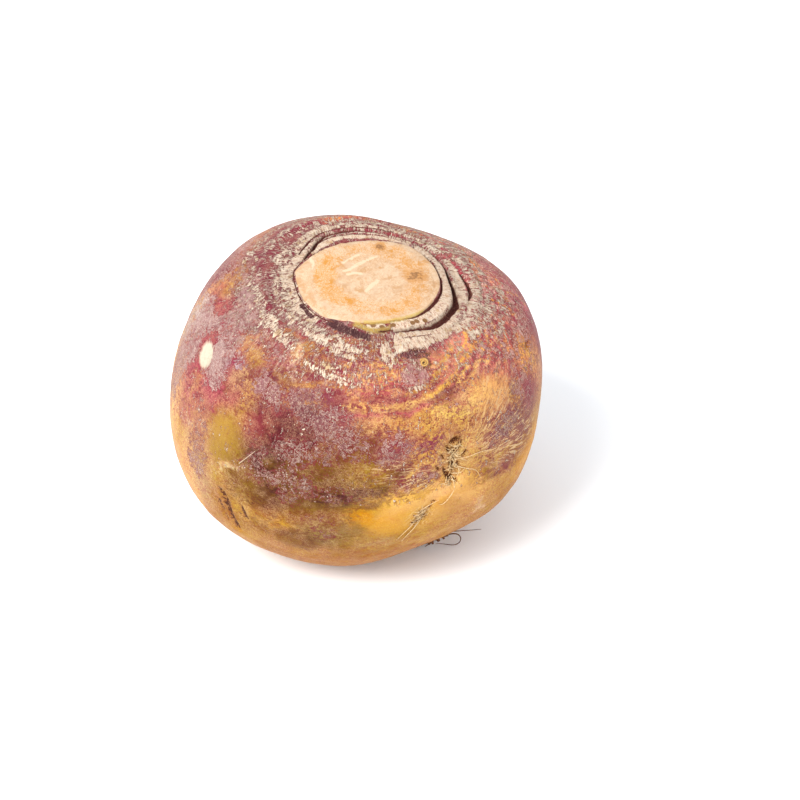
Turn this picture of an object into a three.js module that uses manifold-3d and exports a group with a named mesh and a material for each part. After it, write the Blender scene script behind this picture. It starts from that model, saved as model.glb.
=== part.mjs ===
// A trimmed rutabaga: one swollen root, squat and lopsided, with its leafy crown sliced off and
// the stub of its tap root left underneath. Millimetres, +Z up. It stands on a small flat spot
// on its underside, and the origin is the middle of that spot.

import * as THREE from "three";
import { mergeVertices } from "three/addons/utils/BufferGeometryUtils.js";
import Module from "manifold-3d";

const wasm = await Module();
wasm.setup();

// Driving dimensions of the root in its own frame: +Z up its axis to the crown, zero at its belt.
const beltRadius = 60; // half of the widest part
const crownHeight = 45; // belt to the cut face of the crown
const baseDepth = 50; // belt to the bottom of the root
const cutRadius = 22.8; // half the width of the face that the knife left
const cutOval = 0.92; // its depth from front to back, as a share of its width
const crownShift = { x: 1, y: -5 }; // the crown has grown forward of the middle of the belt
const cutShift = { x: -1.5, y: 1.2 }; // the cut stub sits off the middle of its rim
const moatRadius = 25.8; // inner edge of the corky rim round the cut
const moatDepth = 3; // how far the gap between stub and rim goes down
const collarRadius = 34.5; // outer edge of the corky rim of old leaf bases

// How the root leans where it rests.
const leanRight = THREE.MathUtils.degToRad(3);
const leanForward = THREE.MathUtils.degToRad(5);
const spotDepth = 0.8; // how much of the rounded underside the flat spot takes off

// The stub of the tap root: where it starts, how thick and long it is, and which way it points.
const stub = {
  x: 26.5, y: -18.5, z: 11,
  baseRadius: 3.6, tipRadius: 0.9, length: 9,
  turn: 300, tip: 140, sides: 10,
};

// Facets.
const turns = 84; // round the axis
const ringsPerStretch = 2; // between two points of the outline

// Swellings and hollows of the skin. Each has its turn round the axis in degrees (0 to the right, 90 to
// the back), its tip down from the crown in degrees, its half width in degrees and its height.
const swellings = [
  { turn: 207, tip: 125, width: 36, height: 7.2 }, // low on the left
  { turn: 146, tip: 57, width: 24, height: 3.6 }, // upper left
  { turn: 112, tip: 46, width: 28, height: 5 }, // back shoulder
  { turn: 32, tip: 62, width: 26, height: 3.2 }, // upper right
  { turn: 352, tip: 92, width: 16, height: -1 }, // flattened right side
  { turn: 330, tip: 118, width: 20, height: 2 }, // low on the right
  { turn: 312, tip: 142, width: 22, height: -5 }, // the underside rises to the right
  { turn: 270, tip: 142, width: 18, height: 3.4 }, // the lobe in front of its resting spot
  { turn: 70, tip: 166, width: 34, height: 5.5 }, // the rest of the underside
  { turn: 300, tip: 75, width: 8, height: -1.4 }, // where side roots came out in front
  { turn: 290, tip: 94, width: 7, height: -1.2 }, // where side roots came out below them
  { turn: 100, tip: 118, width: 26, height: -2 }, // shallow hollow low at the back
  { turn: 60, tip: 98, width: 26, height: 2 }, // back belly
];

// The outline from the middle of the cut face, over the rim and the belt, to the middle of the base.
function outline() {
  const control = [
    [0, crownHeight + 0.5],
    [cutRadius * 0.6, crownHeight + 0.4],
    [cutRadius, crownHeight - 0.3],
    [cutRadius + 0.8, crownHeight - moatDepth],
    [moatRadius - 1, crownHeight - moatDepth],
    [moatRadius, crownHeight - 1.4],
    [moatRadius + 3.4, crownHeight - 1.8],
    [moatRadius + 4.2, crownHeight - 3],
    [collarRadius, crownHeight - 4],
    [collarRadius + 1.2, crownHeight - 5.4],
    [beltRadius * 0.77, crownHeight - 12.5],
    [beltRadius * 0.93, crownHeight - 25],
    [beltRadius, 4],
    [beltRadius * 0.985, -12],
    [beltRadius * 0.87, -28],
    [beltRadius * 0.66, -41],
    [beltRadius * 0.38, 2 - baseDepth],
    [beltRadius * 0.15, 0.3 - baseDepth],
    [0, 1 - baseDepth],
  ];
  const curve = new THREE.SplineCurve(control.map(([r, z]) => new THREE.Vector2(r, z)));
  const points = curve.getPoints(ringsPerStretch * (control.length - 1));
  points[0].x = 0;
  points.at(-1).x = 0;
  return points;
}

function directionOf(turn, tip) {
  const t = THREE.MathUtils.degToRad(turn);
  const s = THREE.MathUtils.degToRad(tip);
  return new THREE.Vector3(Math.sin(s) * Math.cos(t), Math.sin(s) * Math.sin(t), Math.cos(s));
}

// Moves every point of a geometry by a function of it.
function eachPoint(geometry, move) {
  const place = geometry.getAttribute("position");
  const p = new THREE.Vector3();
  for (let i = 0; i < place.count; i++) {
    p.fromBufferAttribute(place, i);
    move(p);
    place.setXYZ(i, p.x, p.y, p.z);
  }
}

// The stub becomes oval and slides off the middle of the rim; the rim itself stays round.
function setCutStub(p) {
  const radius = Math.hypot(p.x, p.y);
  if (p.z < 0 || radius > moatRadius) return;
  const hold = 1 - THREE.MathUtils.smoothstep(radius, cutRadius, moatRadius);
  p.x += hold * cutShift.x;
  p.y += hold * (cutShift.y - (1 - cutOval) * p.y);
}

// Leans the neck over, so that the crown stands forward of the belt.
function bendNeck(p) {
  const rise = THREE.MathUtils.smoothstep(p.z, 0, crownHeight);
  p.x += rise * crownShift.x;
  p.y += rise * crownShift.y;
}

function swell(p) {
  const out = p.clone().normalize();
  let push = 0;
  for (const { turn, tip, width, height } of swellings) {
    const apart = THREE.MathUtils.radToDeg(out.angleTo(directionOf(turn, tip))) / width;
    push += height * Math.exp(-apart * apart);
  }
  p.addScaledVector(out, push);
}

function rootBody() {
  const skin = new THREE.LatheGeometry(outline().reverse(), turns);
  skin.rotateX(Math.PI / 2);
  eachPoint(skin, setCutStub);
  eachPoint(skin, swell);
  eachPoint(skin, bendNeck);
  skin.rotateX(leanForward);
  skin.rotateY(leanRight);
  return skin;
}

// Presses the underside flat and brings the middle of the flat spot to the origin.
function standOnSpot(geometry) {
  geometry.computeBoundingBox();
  geometry.translate(0, 0, -geometry.boundingBox.min.z - spotDepth);
  const pressed = new THREE.Box2();
  eachPoint(geometry, (p) => {
    if (p.z > 0) return;
    p.z = 0;
    pressed.expandByPoint(new THREE.Vector2(p.x, p.y));
  });
  const middle = pressed.getCenter(new THREE.Vector2());
  geometry.translate(-middle.x, -middle.y, 0);
}

function tapRoot() {
  const { baseRadius, tipRadius, length } = stub;
  const side = [
    [0, 0],
    [baseRadius, 0],
    [baseRadius * 0.7, length * 0.35],
    [baseRadius * 0.45, length * 0.65],
    [tipRadius, length * 0.95],
    [0, length],
  ];
  const root = new THREE.LatheGeometry(side.map(([r, z]) => new THREE.Vector2(r, z)), stub.sides);
  const pointing = directionOf(stub.turn, stub.tip);
  root.applyQuaternion(new THREE.Quaternion().setFromUnitVectors(new THREE.Vector3(0, 1, 0), pointing));
  root.translate(stub.x, stub.y, stub.z);
  return root;
}

function toSolid(geometry) {
  const bare = geometry.clone();
  bare.deleteAttribute("normal");
  bare.deleteAttribute("uv");
  const merged = mergeVertices(bare, 1e-4);
  return new wasm.Manifold(new wasm.Mesh({
    numProp: 3,
    vertProperties: new Float32Array(merged.getAttribute("position").array),
    triVerts: new Uint32Array(merged.getIndex().array),
  }));
}

function toGeometry(solid) {
  const { vertProperties, triVerts } = solid.getMesh();
  const geometry = new THREE.BufferGeometry();
  geometry.setAttribute("position", new THREE.BufferAttribute(vertProperties, 3));
  geometry.setIndex(new THREE.BufferAttribute(triVerts, 1));
  geometry.computeVertexNormals();
  return geometry;
}

const body = rootBody();
standOnSpot(body);
const rutabaga = new THREE.Mesh(
  toGeometry(toSolid(body).add(toSolid(tapRoot()))),
  new THREE.MeshStandardMaterial({ color: 0xb5806a, roughness: 0.6, metalness: 0 }),
);
rutabaga.name = "rutabaga";

const group = new THREE.Group();
group.add(rutabaga);
export default group;
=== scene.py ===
import itertools
import math
import random

import bpy
import numpy as np
from mathutils import Matrix, Vector


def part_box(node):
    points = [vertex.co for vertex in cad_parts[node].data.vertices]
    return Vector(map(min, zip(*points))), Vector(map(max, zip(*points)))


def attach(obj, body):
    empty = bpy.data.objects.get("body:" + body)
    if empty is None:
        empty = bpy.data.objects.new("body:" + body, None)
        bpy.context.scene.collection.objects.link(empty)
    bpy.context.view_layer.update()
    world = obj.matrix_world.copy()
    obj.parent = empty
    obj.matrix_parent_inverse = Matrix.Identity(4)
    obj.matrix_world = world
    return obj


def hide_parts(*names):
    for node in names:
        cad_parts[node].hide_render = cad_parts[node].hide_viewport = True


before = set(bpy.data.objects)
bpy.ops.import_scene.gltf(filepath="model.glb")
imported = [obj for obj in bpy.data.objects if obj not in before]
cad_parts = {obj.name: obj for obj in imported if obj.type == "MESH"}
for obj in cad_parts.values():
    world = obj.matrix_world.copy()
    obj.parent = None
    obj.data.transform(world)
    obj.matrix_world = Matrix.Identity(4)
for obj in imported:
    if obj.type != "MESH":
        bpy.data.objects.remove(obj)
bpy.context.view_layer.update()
mm = 0.001
rootLow, rootHigh = (np.array(corner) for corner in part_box("rutabaga"))


def placeAt(*shares):  # a place in the root's box, as shares of its width, depth and height
    return rootLow + (rootHigh - rootLow) * np.array(shares)


lampGain = np.array([1.66, 1.8, 2.06])  # how much more the lamps and sky give than white paper needs


def fromSrgb(red, green, blue):  # a colour as seen under the lamps, to the share of light given back
    parts = np.array([red, green, blue]) / 255
    linear = np.where(parts <= 0.04045, parts / 12.92, ((parts + 0.055) / 1.055) ** 2.4)
    return tuple(linear / lampGain)


def allFromSrgb(**colours):
    return {name: fromSrgb(*parts) for name, parts in colours.items()}


def selectOnly(obj):
    if bpy.context.object and bpy.context.object.mode != "OBJECT":
        bpy.ops.object.mode_set(mode="OBJECT")
    bpy.ops.object.select_all(action="DESELECT")
    obj.select_set(True)
    bpy.context.view_layer.objects.active = obj


def applyModifier(obj, kind, **settings):
    selectOnly(obj)
    modifier = obj.modifiers.new(kind.title(), kind)
    for name, value in settings.items():
        setattr(modifier, name, value)
    bpy.ops.object.modifier_apply(modifier=modifier.name)


def vertexPlaces(obj):
    flat = np.empty(len(obj.data.vertices) * 3)
    obj.data.vertices.foreach_get("co", flat)
    return flat.reshape(-1, 3)


def setVertexPlaces(obj, places):
    obj.data.vertices.foreach_set("co", np.asarray(places, dtype=float).ravel())
    obj.data.update()


def linked(name, data):  # a new object in the scene
    obj = bpy.data.objects.new(name, data)
    bpy.context.collection.objects.link(obj)
    return obj


def smoothStep(low, high, value):
    share = np.clip((value - low) / (high - low), 0, 1)
    return share * share * (3 - 2 * share)


def mixed(first, second, share):  # the first where the share is 0, the second where it is 1
    return first * (1 - share) + second * share


def fadedEnds(share, length, beyond=0):  # 1 along a line, falling to 0 at both its ends
    return smoothStep(-beyond, length, share) * smoothStep(1 + beyond, 1 - length, share)


def fromSegment(places, first, second):  # how far each place is from a straight line, and the share along it
    along = second - first
    part = np.clip((places - first) @ along / (along @ along), 0, 1)
    return np.linalg.norm(places - first - part[:, None] * along, axis=1), part


def onPipe(turns, radius, along):  # round and along a pipe, so that noise is drawn out in streaks
    return np.column_stack([np.cos(turns) * radius, np.sin(turns) * radius, along])


def softNoise(places, size, seed=0):  # smooth noise from -1 to 1, with lumps of that size
    grid = places / size + seed * 17.31
    cell = np.floor(grid).astype(np.int64)
    part = grid - cell
    part = part * part * (3 - 2 * part)
    total = np.zeros(len(places))
    for corner in itertools.product((0, 1), repeat=3):
        weight = np.prod(np.where(corner, part, 1 - part), axis=1)
        key = (cell + corner) @ np.array([73856093, 19349663, 83492791]) + seed * 374761393
        key = (key ^ (key >> 13)) * 1274126177
        key = (key ^ (key >> 16)) & 0xFFFF
        total += weight * (key / 32767.5 - 1)
    return total


def roughNoise(places, size, seed=0, layers=3):  # softNoise in layers, each half the size of the last
    total, height, sumHeight = np.zeros(len(places)), 1.0, 0.0
    for layer in range(layers):
        total += height * softNoise(places, size / 2**layer, seed + layer)
        sumHeight += height
        height *= 0.55
    return total / sumHeight


# the root's own frame: its belt, its crown and how it leans

stance = dict(
    belt=placeAt(0.512, 0.5, 0.519),  # the middle of the widest part
    leanRight=math.radians(3),
    leanForward=math.radians(5),
    crownShift=np.array([1, -5, 0]) * mm,  # the crown stands forward of the belt
)
lean = np.array(
    Matrix.Rotation(stance["leanRight"], 3, "Y") @ Matrix.Rotation(stance["leanForward"], 3, "X")
)


def toCrown(places):  # from the row frame to the crown: middle of the cut, +Z along the axis
    return (places - stance["belt"]) @ lean - stance["crownShift"]


def fromCrown(places):
    return (places + stance["crownShift"]) @ lean.T + stance["belt"]


def directionOf(turn, tip):  # degrees: round from +X, and down from straight up
    turn, tip = math.radians(turn), math.radians(tip)
    return np.array([math.sin(tip) * math.cos(turn), math.sin(tip) * math.sin(turn), math.cos(tip)])


# the skin's mesh: a sphere wrapped on the root, dense where the detail is

skinMesh = dict(
    turns=96,
    rings=63,
    ringStops=[0, 8, 17, 29, 41, 53, 63],  # rings counted from the crown
    tipStops=[0, 24, 33, 50, 80, 125, 180],  # where those rings lie, in degrees from the axis
    crowdedTurn=math.radians(285),  # the scarred front has more turns than the back
    crowding=0.3,
    levels=2,
)
tapRoot = dict(
    start=placeAt(0.682, 0.359, 0.106),
    end=placeAt(0.7055, 0.3176, 0.04),
    width=4.4 * mm,
    baseRadius=3.4 * mm,
    tipRadius=1.1 * mm,
    ragged=0.45 * mm,
    torn=1.2 * mm,
)


def smoothRoot():  # a smooth copy of the solid root, with no stub
    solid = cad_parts["rutabaga"]
    copy = linked("rootForm", solid.data.copy())
    selectOnly(copy)
    bpy.ops.object.mode_set(mode="EDIT")
    bpy.ops.mesh.select_all(action="SELECT")
    bpy.ops.mesh.remove_doubles(threshold=0.01 * mm)
    bpy.ops.mesh.select_all(action="DESELECT")
    bpy.ops.object.mode_set(mode="OBJECT")
    along = tapRoot["end"] - tapRoot["start"]
    for vertex in copy.data.vertices:
        offset = np.array(vertex.co) - tapRoot["start"]
        share = np.clip(offset @ along / (along @ along), -0.3, 1.1)
        vertex.select = bool(np.linalg.norm(offset - share * along) < tapRoot["width"])
    bpy.ops.object.mode_set(mode="EDIT")
    bpy.ops.mesh.delete(type="VERT")
    bpy.ops.mesh.select_all(action="SELECT")
    bpy.ops.mesh.fill_holes(sides=0)
    bpy.ops.mesh.tris_convert_to_quads()
    bpy.ops.object.mode_set(mode="OBJECT")
    applyModifier(copy, "SUBSURF", levels=2, render_levels=2)
    applyModifier(copy, "SMOOTH", factor=0.5, iterations=6)
    return copy


def wrappedSphere(form):
    turns, rings = skinMesh["turns"], skinMesh["rings"]
    bpy.ops.object.select_all(action="DESELECT")
    bpy.ops.mesh.primitive_uv_sphere_add(segments=turns, ring_count=rings, radius=1)
    skin = bpy.context.object
    skin.name = skin.data.name = "rutabagaSkin"
    unit = vertexPlaces(skin)
    ring = np.degrees(np.arccos(np.clip(unit[:, 2], -1, 1))) / 180 * rings
    tip = np.radians(np.interp(ring, skinMesh["ringStops"], skinMesh["tipStops"]))
    turn = np.arctan2(unit[:, 1], unit[:, 0])
    turn = turn - skinMesh["crowding"] * np.sin(turn - skinMesh["crowdedTurn"])
    unit = np.stack([np.sin(tip) * np.cos(turn), np.sin(tip) * np.sin(turn), np.cos(tip)], axis=1)
    start = stance["belt"] + 0.4 * stance["crownShift"]
    setVertexPlaces(skin, start + unit @ lean.T * 20 * mm)
    applyModifier(
        skin, "SHRINKWRAP", target=form, wrap_method="PROJECT",
        use_negative_direction=False, use_positive_direction=True,
    )
    applyModifier(skin, "SUBSURF", levels=skinMesh["levels"], render_levels=skinMesh["levels"])
    return skin


print("stage: wrapping the skin on the root")
form = smoothRoot()
skin = wrappedSphere(form)
print(len(skin.data.vertices), "vertices", len(skin.data.polygons), "faces")
bpy.data.objects.remove(form)

# carving: what is raised and sunk on the skin, in millimetres

def crownPolar(places):  # millimetres from the middle of the rim and degrees round it, the oval made round
    crown = toCrown(places) / mm
    x = crown[:, 0] - crownCut["middle"][0]
    y = (crown[:, 1] - crownCut["middle"][1]) / crownCut["oval"]
    return np.hypot(x, y), np.degrees(np.arctan2(y, x)) % 360, crown


def onOutline(angle, stops):  # a closed outline given as (angle, value) stops
    angles, values = zip(*stops)
    return np.interp(angle, angles, values, period=360)


def onPath(angle, stops):  # an open path of (angle, value) stops; angles may run below 0 or past 360
    angles, values = zip(*stops)
    middle = (angles[0] + angles[-1]) / 2
    turned = (angle - middle + 180) % 360 - 180 + middle
    ends = smoothStep(angles[0] - 1, angles[0] + 4, turned)
    ends *= smoothStep(-angles[-1] - 1, 4 - angles[-1], -turned)
    return np.interp(turned, angles, values), ends


def fourierFit(angle, value, waves=2):  # a smooth closed curve through values given all round
    def terms(angle):
        turns = np.radians(angle)
        columns = [np.ones_like(turns)]
        for wave in range(1, waves + 1):
            columns += [np.cos(wave * turns), np.sin(wave * turns)]
        return np.stack(columns, axis=1)
    answer = np.linalg.lstsq(terms(angle), value, rcond=None)[0]
    return lambda angle: terms(angle) @ answer


crownCut = dict(
    oval=0.9,
    middle=(0.5, 1.3),
    reach=60,  # how far out the crown's forms may go, in mm
    bridgeFrom=19.5,  # between these two radii the solid's own step is smoothed over
    bridgeTo=31,
    fleshRise=(0.45, 0.1),  # height of the cut face and of its unevenness
    fleshEdge=[(5, 21.4), (35, 22.6), (60, 24), (85, 21.8), (110, 20.8), (135, 22), (155, 23), (171, 25.2),
               (190, 24.2), (212, 24.2), (230, 24.6), (250, 22.6), (285, 20.7), (310, 21.3), (340, 20.6)],
    ribsFrom=(1.2, 3),  # where the ribs begin, in mm beyond the flesh
    ribsTo=(46, 38),  # radii where they have gone and where they are full
    ribSize=0.85,
    ribHeight=0.2,
    terraces=[(30.8, 0.55), (34.8, 0.5), (39.2, 0.45)],  # radius and drop of each ring of leaf scars
)
# gaps and cracks round the cut: path of (angle, radius), half width along it, depth
crownGaps = [
    dict(path=[(-79, 25), (-68, 25.4), (-58, 25.8), (-46, 27.3), (-31, 27.0), (-14, 27.2), (0, 26.2),
               (14, 25.4), (33, 27.0), (53, 27.9)],
         width=[(-79, 0.4), (-68, 0.8), (-58, 1.0), (-46, 1.4), (-20, 1.2), (0, 0.9), (14, 0.6), (53, 0.35)],
         depth=2.6),
    dict(path=[(50, 27.9), (70, 28.2), (82, 27.8), (93, 27.8), (109, 28.4), (124, 28.3), (140, 25.2),
               (156, 24.4)],
         width=[(50, 0.3), (93, 0.6), (109, 0.8), (140, 0.7), (156, 0.4)], depth=1.7),
    dict(path=[(155, 24.4), (171, 25.7), (190, 24.7), (212, 24.7), (230, 25.0), (242, 24.2)],
         width=[(155, 0.2), (212, 0.16), (230, 0.2), (242, 0.3)], depth=0.35),
    dict(path=[(-88, 25.2), (-80, 24.8), (-74, 24.4)], width=[(-88, 0.5), (-74, 0.6)], depth=1.2),
    dict(path=[(62, 26.6), (80, 25.9), (95, 25.6), (112, 26.2), (128, 26.6), (144, 24.6)],
         width=[(62, 0.25), (144, 0.25)], depth=0.7),
    dict(path=[(76, 29.6), (92, 29.5), (108, 30.2), (122, 30.4), (140, 28.4), (152, 27.2)],
         width=[(76, 0.25), (152, 0.3)], depth=0.6),
    dict(path=[(-62, 21.2), (-51, 21.6), (-24, 21.2), (-9, 21.7), (20, 22.4), (45, 23.8), (62, 24.4),
               (80, 22.6), (110, 21.3), (138, 22.6), (154, 23.4)],
         width=[(-62, 0.25), (-30, 0.6), (-12, 0.45), (20, 0.25), (80, 0.25), (138, 0.35), (154, 0.3)],
         depth=1.0),
    dict(path=[(33, 31.9), (44, 31.6), (56, 30.7), (66, 29.4)], width=[(33, 0.3), (66, 0.25)], depth=0.8),
    dict(path=[(-6, 30.8), (2, 31.4), (14, 30.6), (24, 30.2)], width=[(-6, 0.4), (2, 0.7), (24, 0.3)],
         depth=1.0),
    dict(path=[(-72, 28.4), (-60, 29.4), (-50, 30.6)], width=[(-72, 0.25), (-50, 0.3)], depth=0.6),
]


def carveCrown(places):
    radius, angle, crown = crownPolar(places)
    near = (crown[:, 2] > 0) & (radius < crownCut["reach"])
    noise = roughNoise(places, 5 * mm, 3)
    fine = roughNoise(places, 1.6 * mm, 5)

    def rimHeight(at):
        ring = near & (np.abs(radius - at) < 0.8)
        return fourierFit(angle[ring], crown[ring, 2])
    low, high = rimHeight(crownCut["bridgeFrom"]), rimHeight(crownCut["bridgeTo"])
    share = smoothStep(crownCut["bridgeFrom"], crownCut["bridgeTo"], radius)
    bridged = mixed(low(angle), high(angle), share)
    hold = near & (radius > crownCut["bridgeFrom"]) & (radius < crownCut["bridgeTo"])
    height = np.where(hold, bridged, crown[:, 2])

    edge = onOutline(angle, crownCut["fleshEdge"]) + 0.35 * noise + 0.12 * fine
    flesh = smoothStep(0.25, -0.25, radius - edge)
    rise, unevenness = crownCut["fleshRise"]
    height += near * flesh * (rise + unevenness * roughNoise(places, 7 * mm, 9))

    gap = np.zeros(len(places))
    for crack in crownGaps:
        middle, ends = onPath(angle, crack["path"])
        half = onPath(angle, crack["width"])[0] * (1 + 0.25 * noise) * (0.35 + 0.65 * ends)
        apart = np.abs(radius - middle - 0.25 * noise - 0.1 * fine)
        mark = ends * smoothStep(1.25, 0.55, apart / half)
        height -= near * crack["depth"] * mark
        gap = np.maximum(gap, near * mark)

    beyond = smoothStep(*crownCut["ribsFrom"], radius - edge) * smoothStep(*crownCut["ribsTo"], radius)
    beyond *= 1 - gap
    around = onPipe(np.radians(angle), 29, radius * 0.16) * mm
    ribs = roughNoise(around, crownCut["ribSize"] * mm, 11, layers=2)
    ribs += 0.5 * roughNoise(around, 2.5 * mm, 12, layers=1)
    height += near * beyond * crownCut["ribHeight"] * ribs * (1 + 0.5 * noise)
    for ringRadius, drop in crownCut["terraces"]:
        lip = ringRadius + 1.1 * roughNoise(places, 11 * mm, int(ringRadius)) + 0.3 * fine
        off = radius - lip
        saw = np.where(off < 0, smoothStep(-3.2, -0.3, off) * smoothStep(0.3, -0.3, off), 0)
        height += near * drop * (0.6 + 0.5 * noise) * saw
    crown[:, 2] = height
    return fromCrown(crown * mm), dict(flesh=near * flesh, gap=gap)


# carving the body: rings, creases, root scars and knocks

def wobbled(places, amount, size, seed):  # directions from the belt's middle, pushed about by noise
    push = np.stack([roughNoise(places, size * mm, seed + 10 * axis) for axis in range(3)], axis=1)
    offset = places + amount * mm * push - stance["belt"]
    return offset / np.linalg.norm(offset, axis=1, keepdims=True)


bodyRadius = 60  # in mm
reachPerDegree = math.radians(1) * bodyRadius  # mm of skin to a degree


def alongRoot(places):  # mm of skin from the middle of the crown, and the turn about the root's axis
    leaning = (places - stance["belt"]) @ lean
    tip = np.arccos(leaning[:, 2] / np.linalg.norm(leaning, axis=1))
    return np.degrees(tip) * reachPerDegree, np.arctan2(leaning[:, 1], leaning[:, 0])


def ovalAt(directions, turn, tip, wide, high, tilt=0):  # 0 in the middle of an oval, 1 at its rim; degrees
    sideways = directions @ directionOf(turn + 90, 90)
    upwards = directions @ directionOf(turn, tip - 90)
    tilt = math.radians(tilt)
    along = (sideways * math.cos(tilt) + upwards * math.sin(tilt)) / math.sin(math.radians(wide))
    across = (upwards * math.cos(tilt) - sideways * math.sin(tilt)) / math.sin(math.radians(high))
    facing = directions @ directionOf(turn, tip) > 0
    return np.where(facing, np.hypot(along, across), 9)


def lineAt(directions, stops):  # degrees from a line through (turn, tip) stops, and the share along it
    points = np.array([directionOf(*stop) for stop in stops])
    nearest, share = np.full(len(directions), 99.0), np.zeros(len(directions))
    for index, (first, second) in enumerate(itertools.pairwise(points)):
        apart, part = fromSegment(directions, first, second)
        apart = np.degrees(apart)
        share = np.where(apart < nearest, (index + part) / (len(points) - 1), share)
        nearest = np.minimum(apart, nearest)
    return nearest, share


bodyForm = dict(
    waves=[(22, 0.45), (9, 0.18), (3.5, 0.07)],  # size and height of the skin's unevenness
    wavesFrom=(26, 40),  # mm from the middle of the cut, where the unevenness begins and is full
    moundHeight=0.2,
    moundRough=0.45,  # height of the torn fibres on the mounds
    budRing=(1.15, 0.25, 0.7),  # the furrow round the bud: where, half width, how deep as a share
)
# creases: stops as (turn, tip), half width in degrees, depth in mm (below 0 is a ridge) and how dark, which
# is painted shade along the crease
creases = [
    dict(stops=[(223.8, 98.5), (225.4, 102.6), (226.3, 107.4), (227.2, 111.3), (227.4, 117)],
         wide=1.1, depth=1.2, dark=1),
    dict(stops=[(222.4, 103), (223.8, 108), (224.4, 113)], wide=0.6, depth=0.5, dark=0.8),
    dict(stops=[(228, 103), (228.7, 109), (229.4, 115)], wide=0.6, depth=-0.5),
    dict(stops=[(231, 101.5), (232.1, 105), (233.4, 108.6)], wide=0.8, depth=0.6, dark=1),
    dict(stops=[(235, 105), (236.5, 109), (238.5, 112)], wide=0.6, depth=0.4, dark=0.5),
    dict(stops=[(248, 98), (256, 97), (263, 96), (270, 95), (276, 92), (280, 86), (287, 81), (294, 80)],
         wide=2.2, depth=0.7),
    dict(stops=[(350, 66), (348, 67), (346, 68)], wide=0.5, depth=0.8, dark=1),
    dict(stops=[(236, 55), (250, 57), (262, 58), (275, 59), (288, 60), (298, 58), (304, 54), (312, 52),
                (322, 55), (332, 54)], wide=0.6, depth=0.3),
    dict(stops=[(240, 53), (252, 55), (264, 56.5), (276, 57.5), (288, 58), (297, 56), (302, 52), (310, 50)],
         wide=0.7, depth=-0.3),
    dict(stops=[(318, 60), (326, 57), (336, 54), (344, 55)], wide=0.5, depth=0.35),
    dict(stops=[(322, 66), (331, 62), (341, 60)], wide=0.5, depth=0.3),
    dict(stops=[(250, 48), (262, 50), (272, 50), (284, 52)], wide=0.5, depth=0.35),
    dict(stops=[(304, 84), (312, 85), (320, 88), (327, 92)], wide=0.7, depth=0.35),
    dict(stops=[(302, 87), (309, 90), (316, 95), (322, 101)], wide=0.7, depth=0.3),
    dict(stops=[(284, 88), (278, 92), (275, 98), (274, 104)], wide=0.8, depth=0.25),
    dict(stops=[(287, 107), (281, 110), (274, 114), (266, 118)], wide=0.7, depth=0.3),
    dict(stops=[(290, 109), (284, 113), (277, 118), (268, 123)], wide=0.6, depth=0.25),
]
swells = [  # lumps and dents: turn, tip, half width, half height, tilt, height in mm
    (282, 97, 9, 6, -16, 0.9),
    (301, 93, 7, 5, -24, 0.8),
    (309, 100, 9, 4, -32, 0.4),
    (300, 83, 6, 9, -20, -0.8),
    (289, 103, 5, 5, -20, -0.7),
    (293, 96, 4, 4, -20, -0.4),
    (268, 108, 8, 6, 0, -0.6),
    (258, 88, 9, 6, 5, -0.5),
    (226, 82, 7, 9, 25, 0.5),
    (240, 104, 9, 6, 18, 0.5),
    (246, 76, 6, 5, 14, 0.4),
    (318, 66, 9, 6, -25, 0.5),
    (328, 74, 8, 5, -30, -0.4),
    (305, 63, 7, 3, -20, -0.4),
    (200, 60, 9, 8, 30, 0.4),
]
wrinkles = dict(  # fine folds that run round the root below its belt
    size=1.6,
    stretch=9,  # the smaller, the longer they are
    height=0.16,
    fromTip=92,
    toTip=104,
)
scarPits = [  # where side roots have died away: turn, tip, half width, half height, tilt, depth in mm
    (300.2, 76.6, 1.9, 1.0, 14, 0.9),
    (297.8, 78.6, 0.6, 2.0, 26, 0.7),
    (301.8, 79, 0.6, 1.8, -26, 0.7),
    (299.6, 80.6, 0.7, 2.2, 6, 0.8),
    (295.6, 80.4, 0.5, 1.4, 40, 0.4),
    (303.4, 82, 0.5, 1.4, -44, 0.5),
    (298.8, 84.6, 0.9, 2.4, 10, 1.1),
    (296.4, 86.2, 0.6, 2.2, 20, 0.7),
    (300.8, 85.4, 0.5, 1.8, -12, 0.6),
    (298, 88.6, 1.0, 2.2, 8, 1.0),
    (299.8, 90, 0.5, 1.2, -14, 0.5),
    (293.8, 84, 0.5, 1.3, 30, 0.4),
    (289.6, 100.4, 1.3, 0.8, -14, 0.7),
    (289, 103, 1.6, 1.1, 15, 0.9),
    (291.4, 98.6, 0.5, 1.2, -50, 0.5),
    (287, 101.4, 0.5, 1.3, 40, 0.5),
    (286.6, 104.6, 1.0, 0.6, -40, 0.5),
    (292.8, 96.8, 0.8, 0.5, -10, 0.4),
]
scarMounds = [(299, 82, 5, 9, 10), (289, 101.5, 5, 5, 10)]  # turn, tip, half width, half height, tilt
# ovals as above, each with its own depth or height
chip = dict(oval=(202.2, 64.4, 4.2, 3.3, -42), depth=0.45)
coilBud = dict(oval=(296.1, 50.5, 2.4, 1.9, -15), height=0.45)
stubHollow = dict(oval=(315, 137, 8, 6, 0), depth=0.8)


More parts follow.
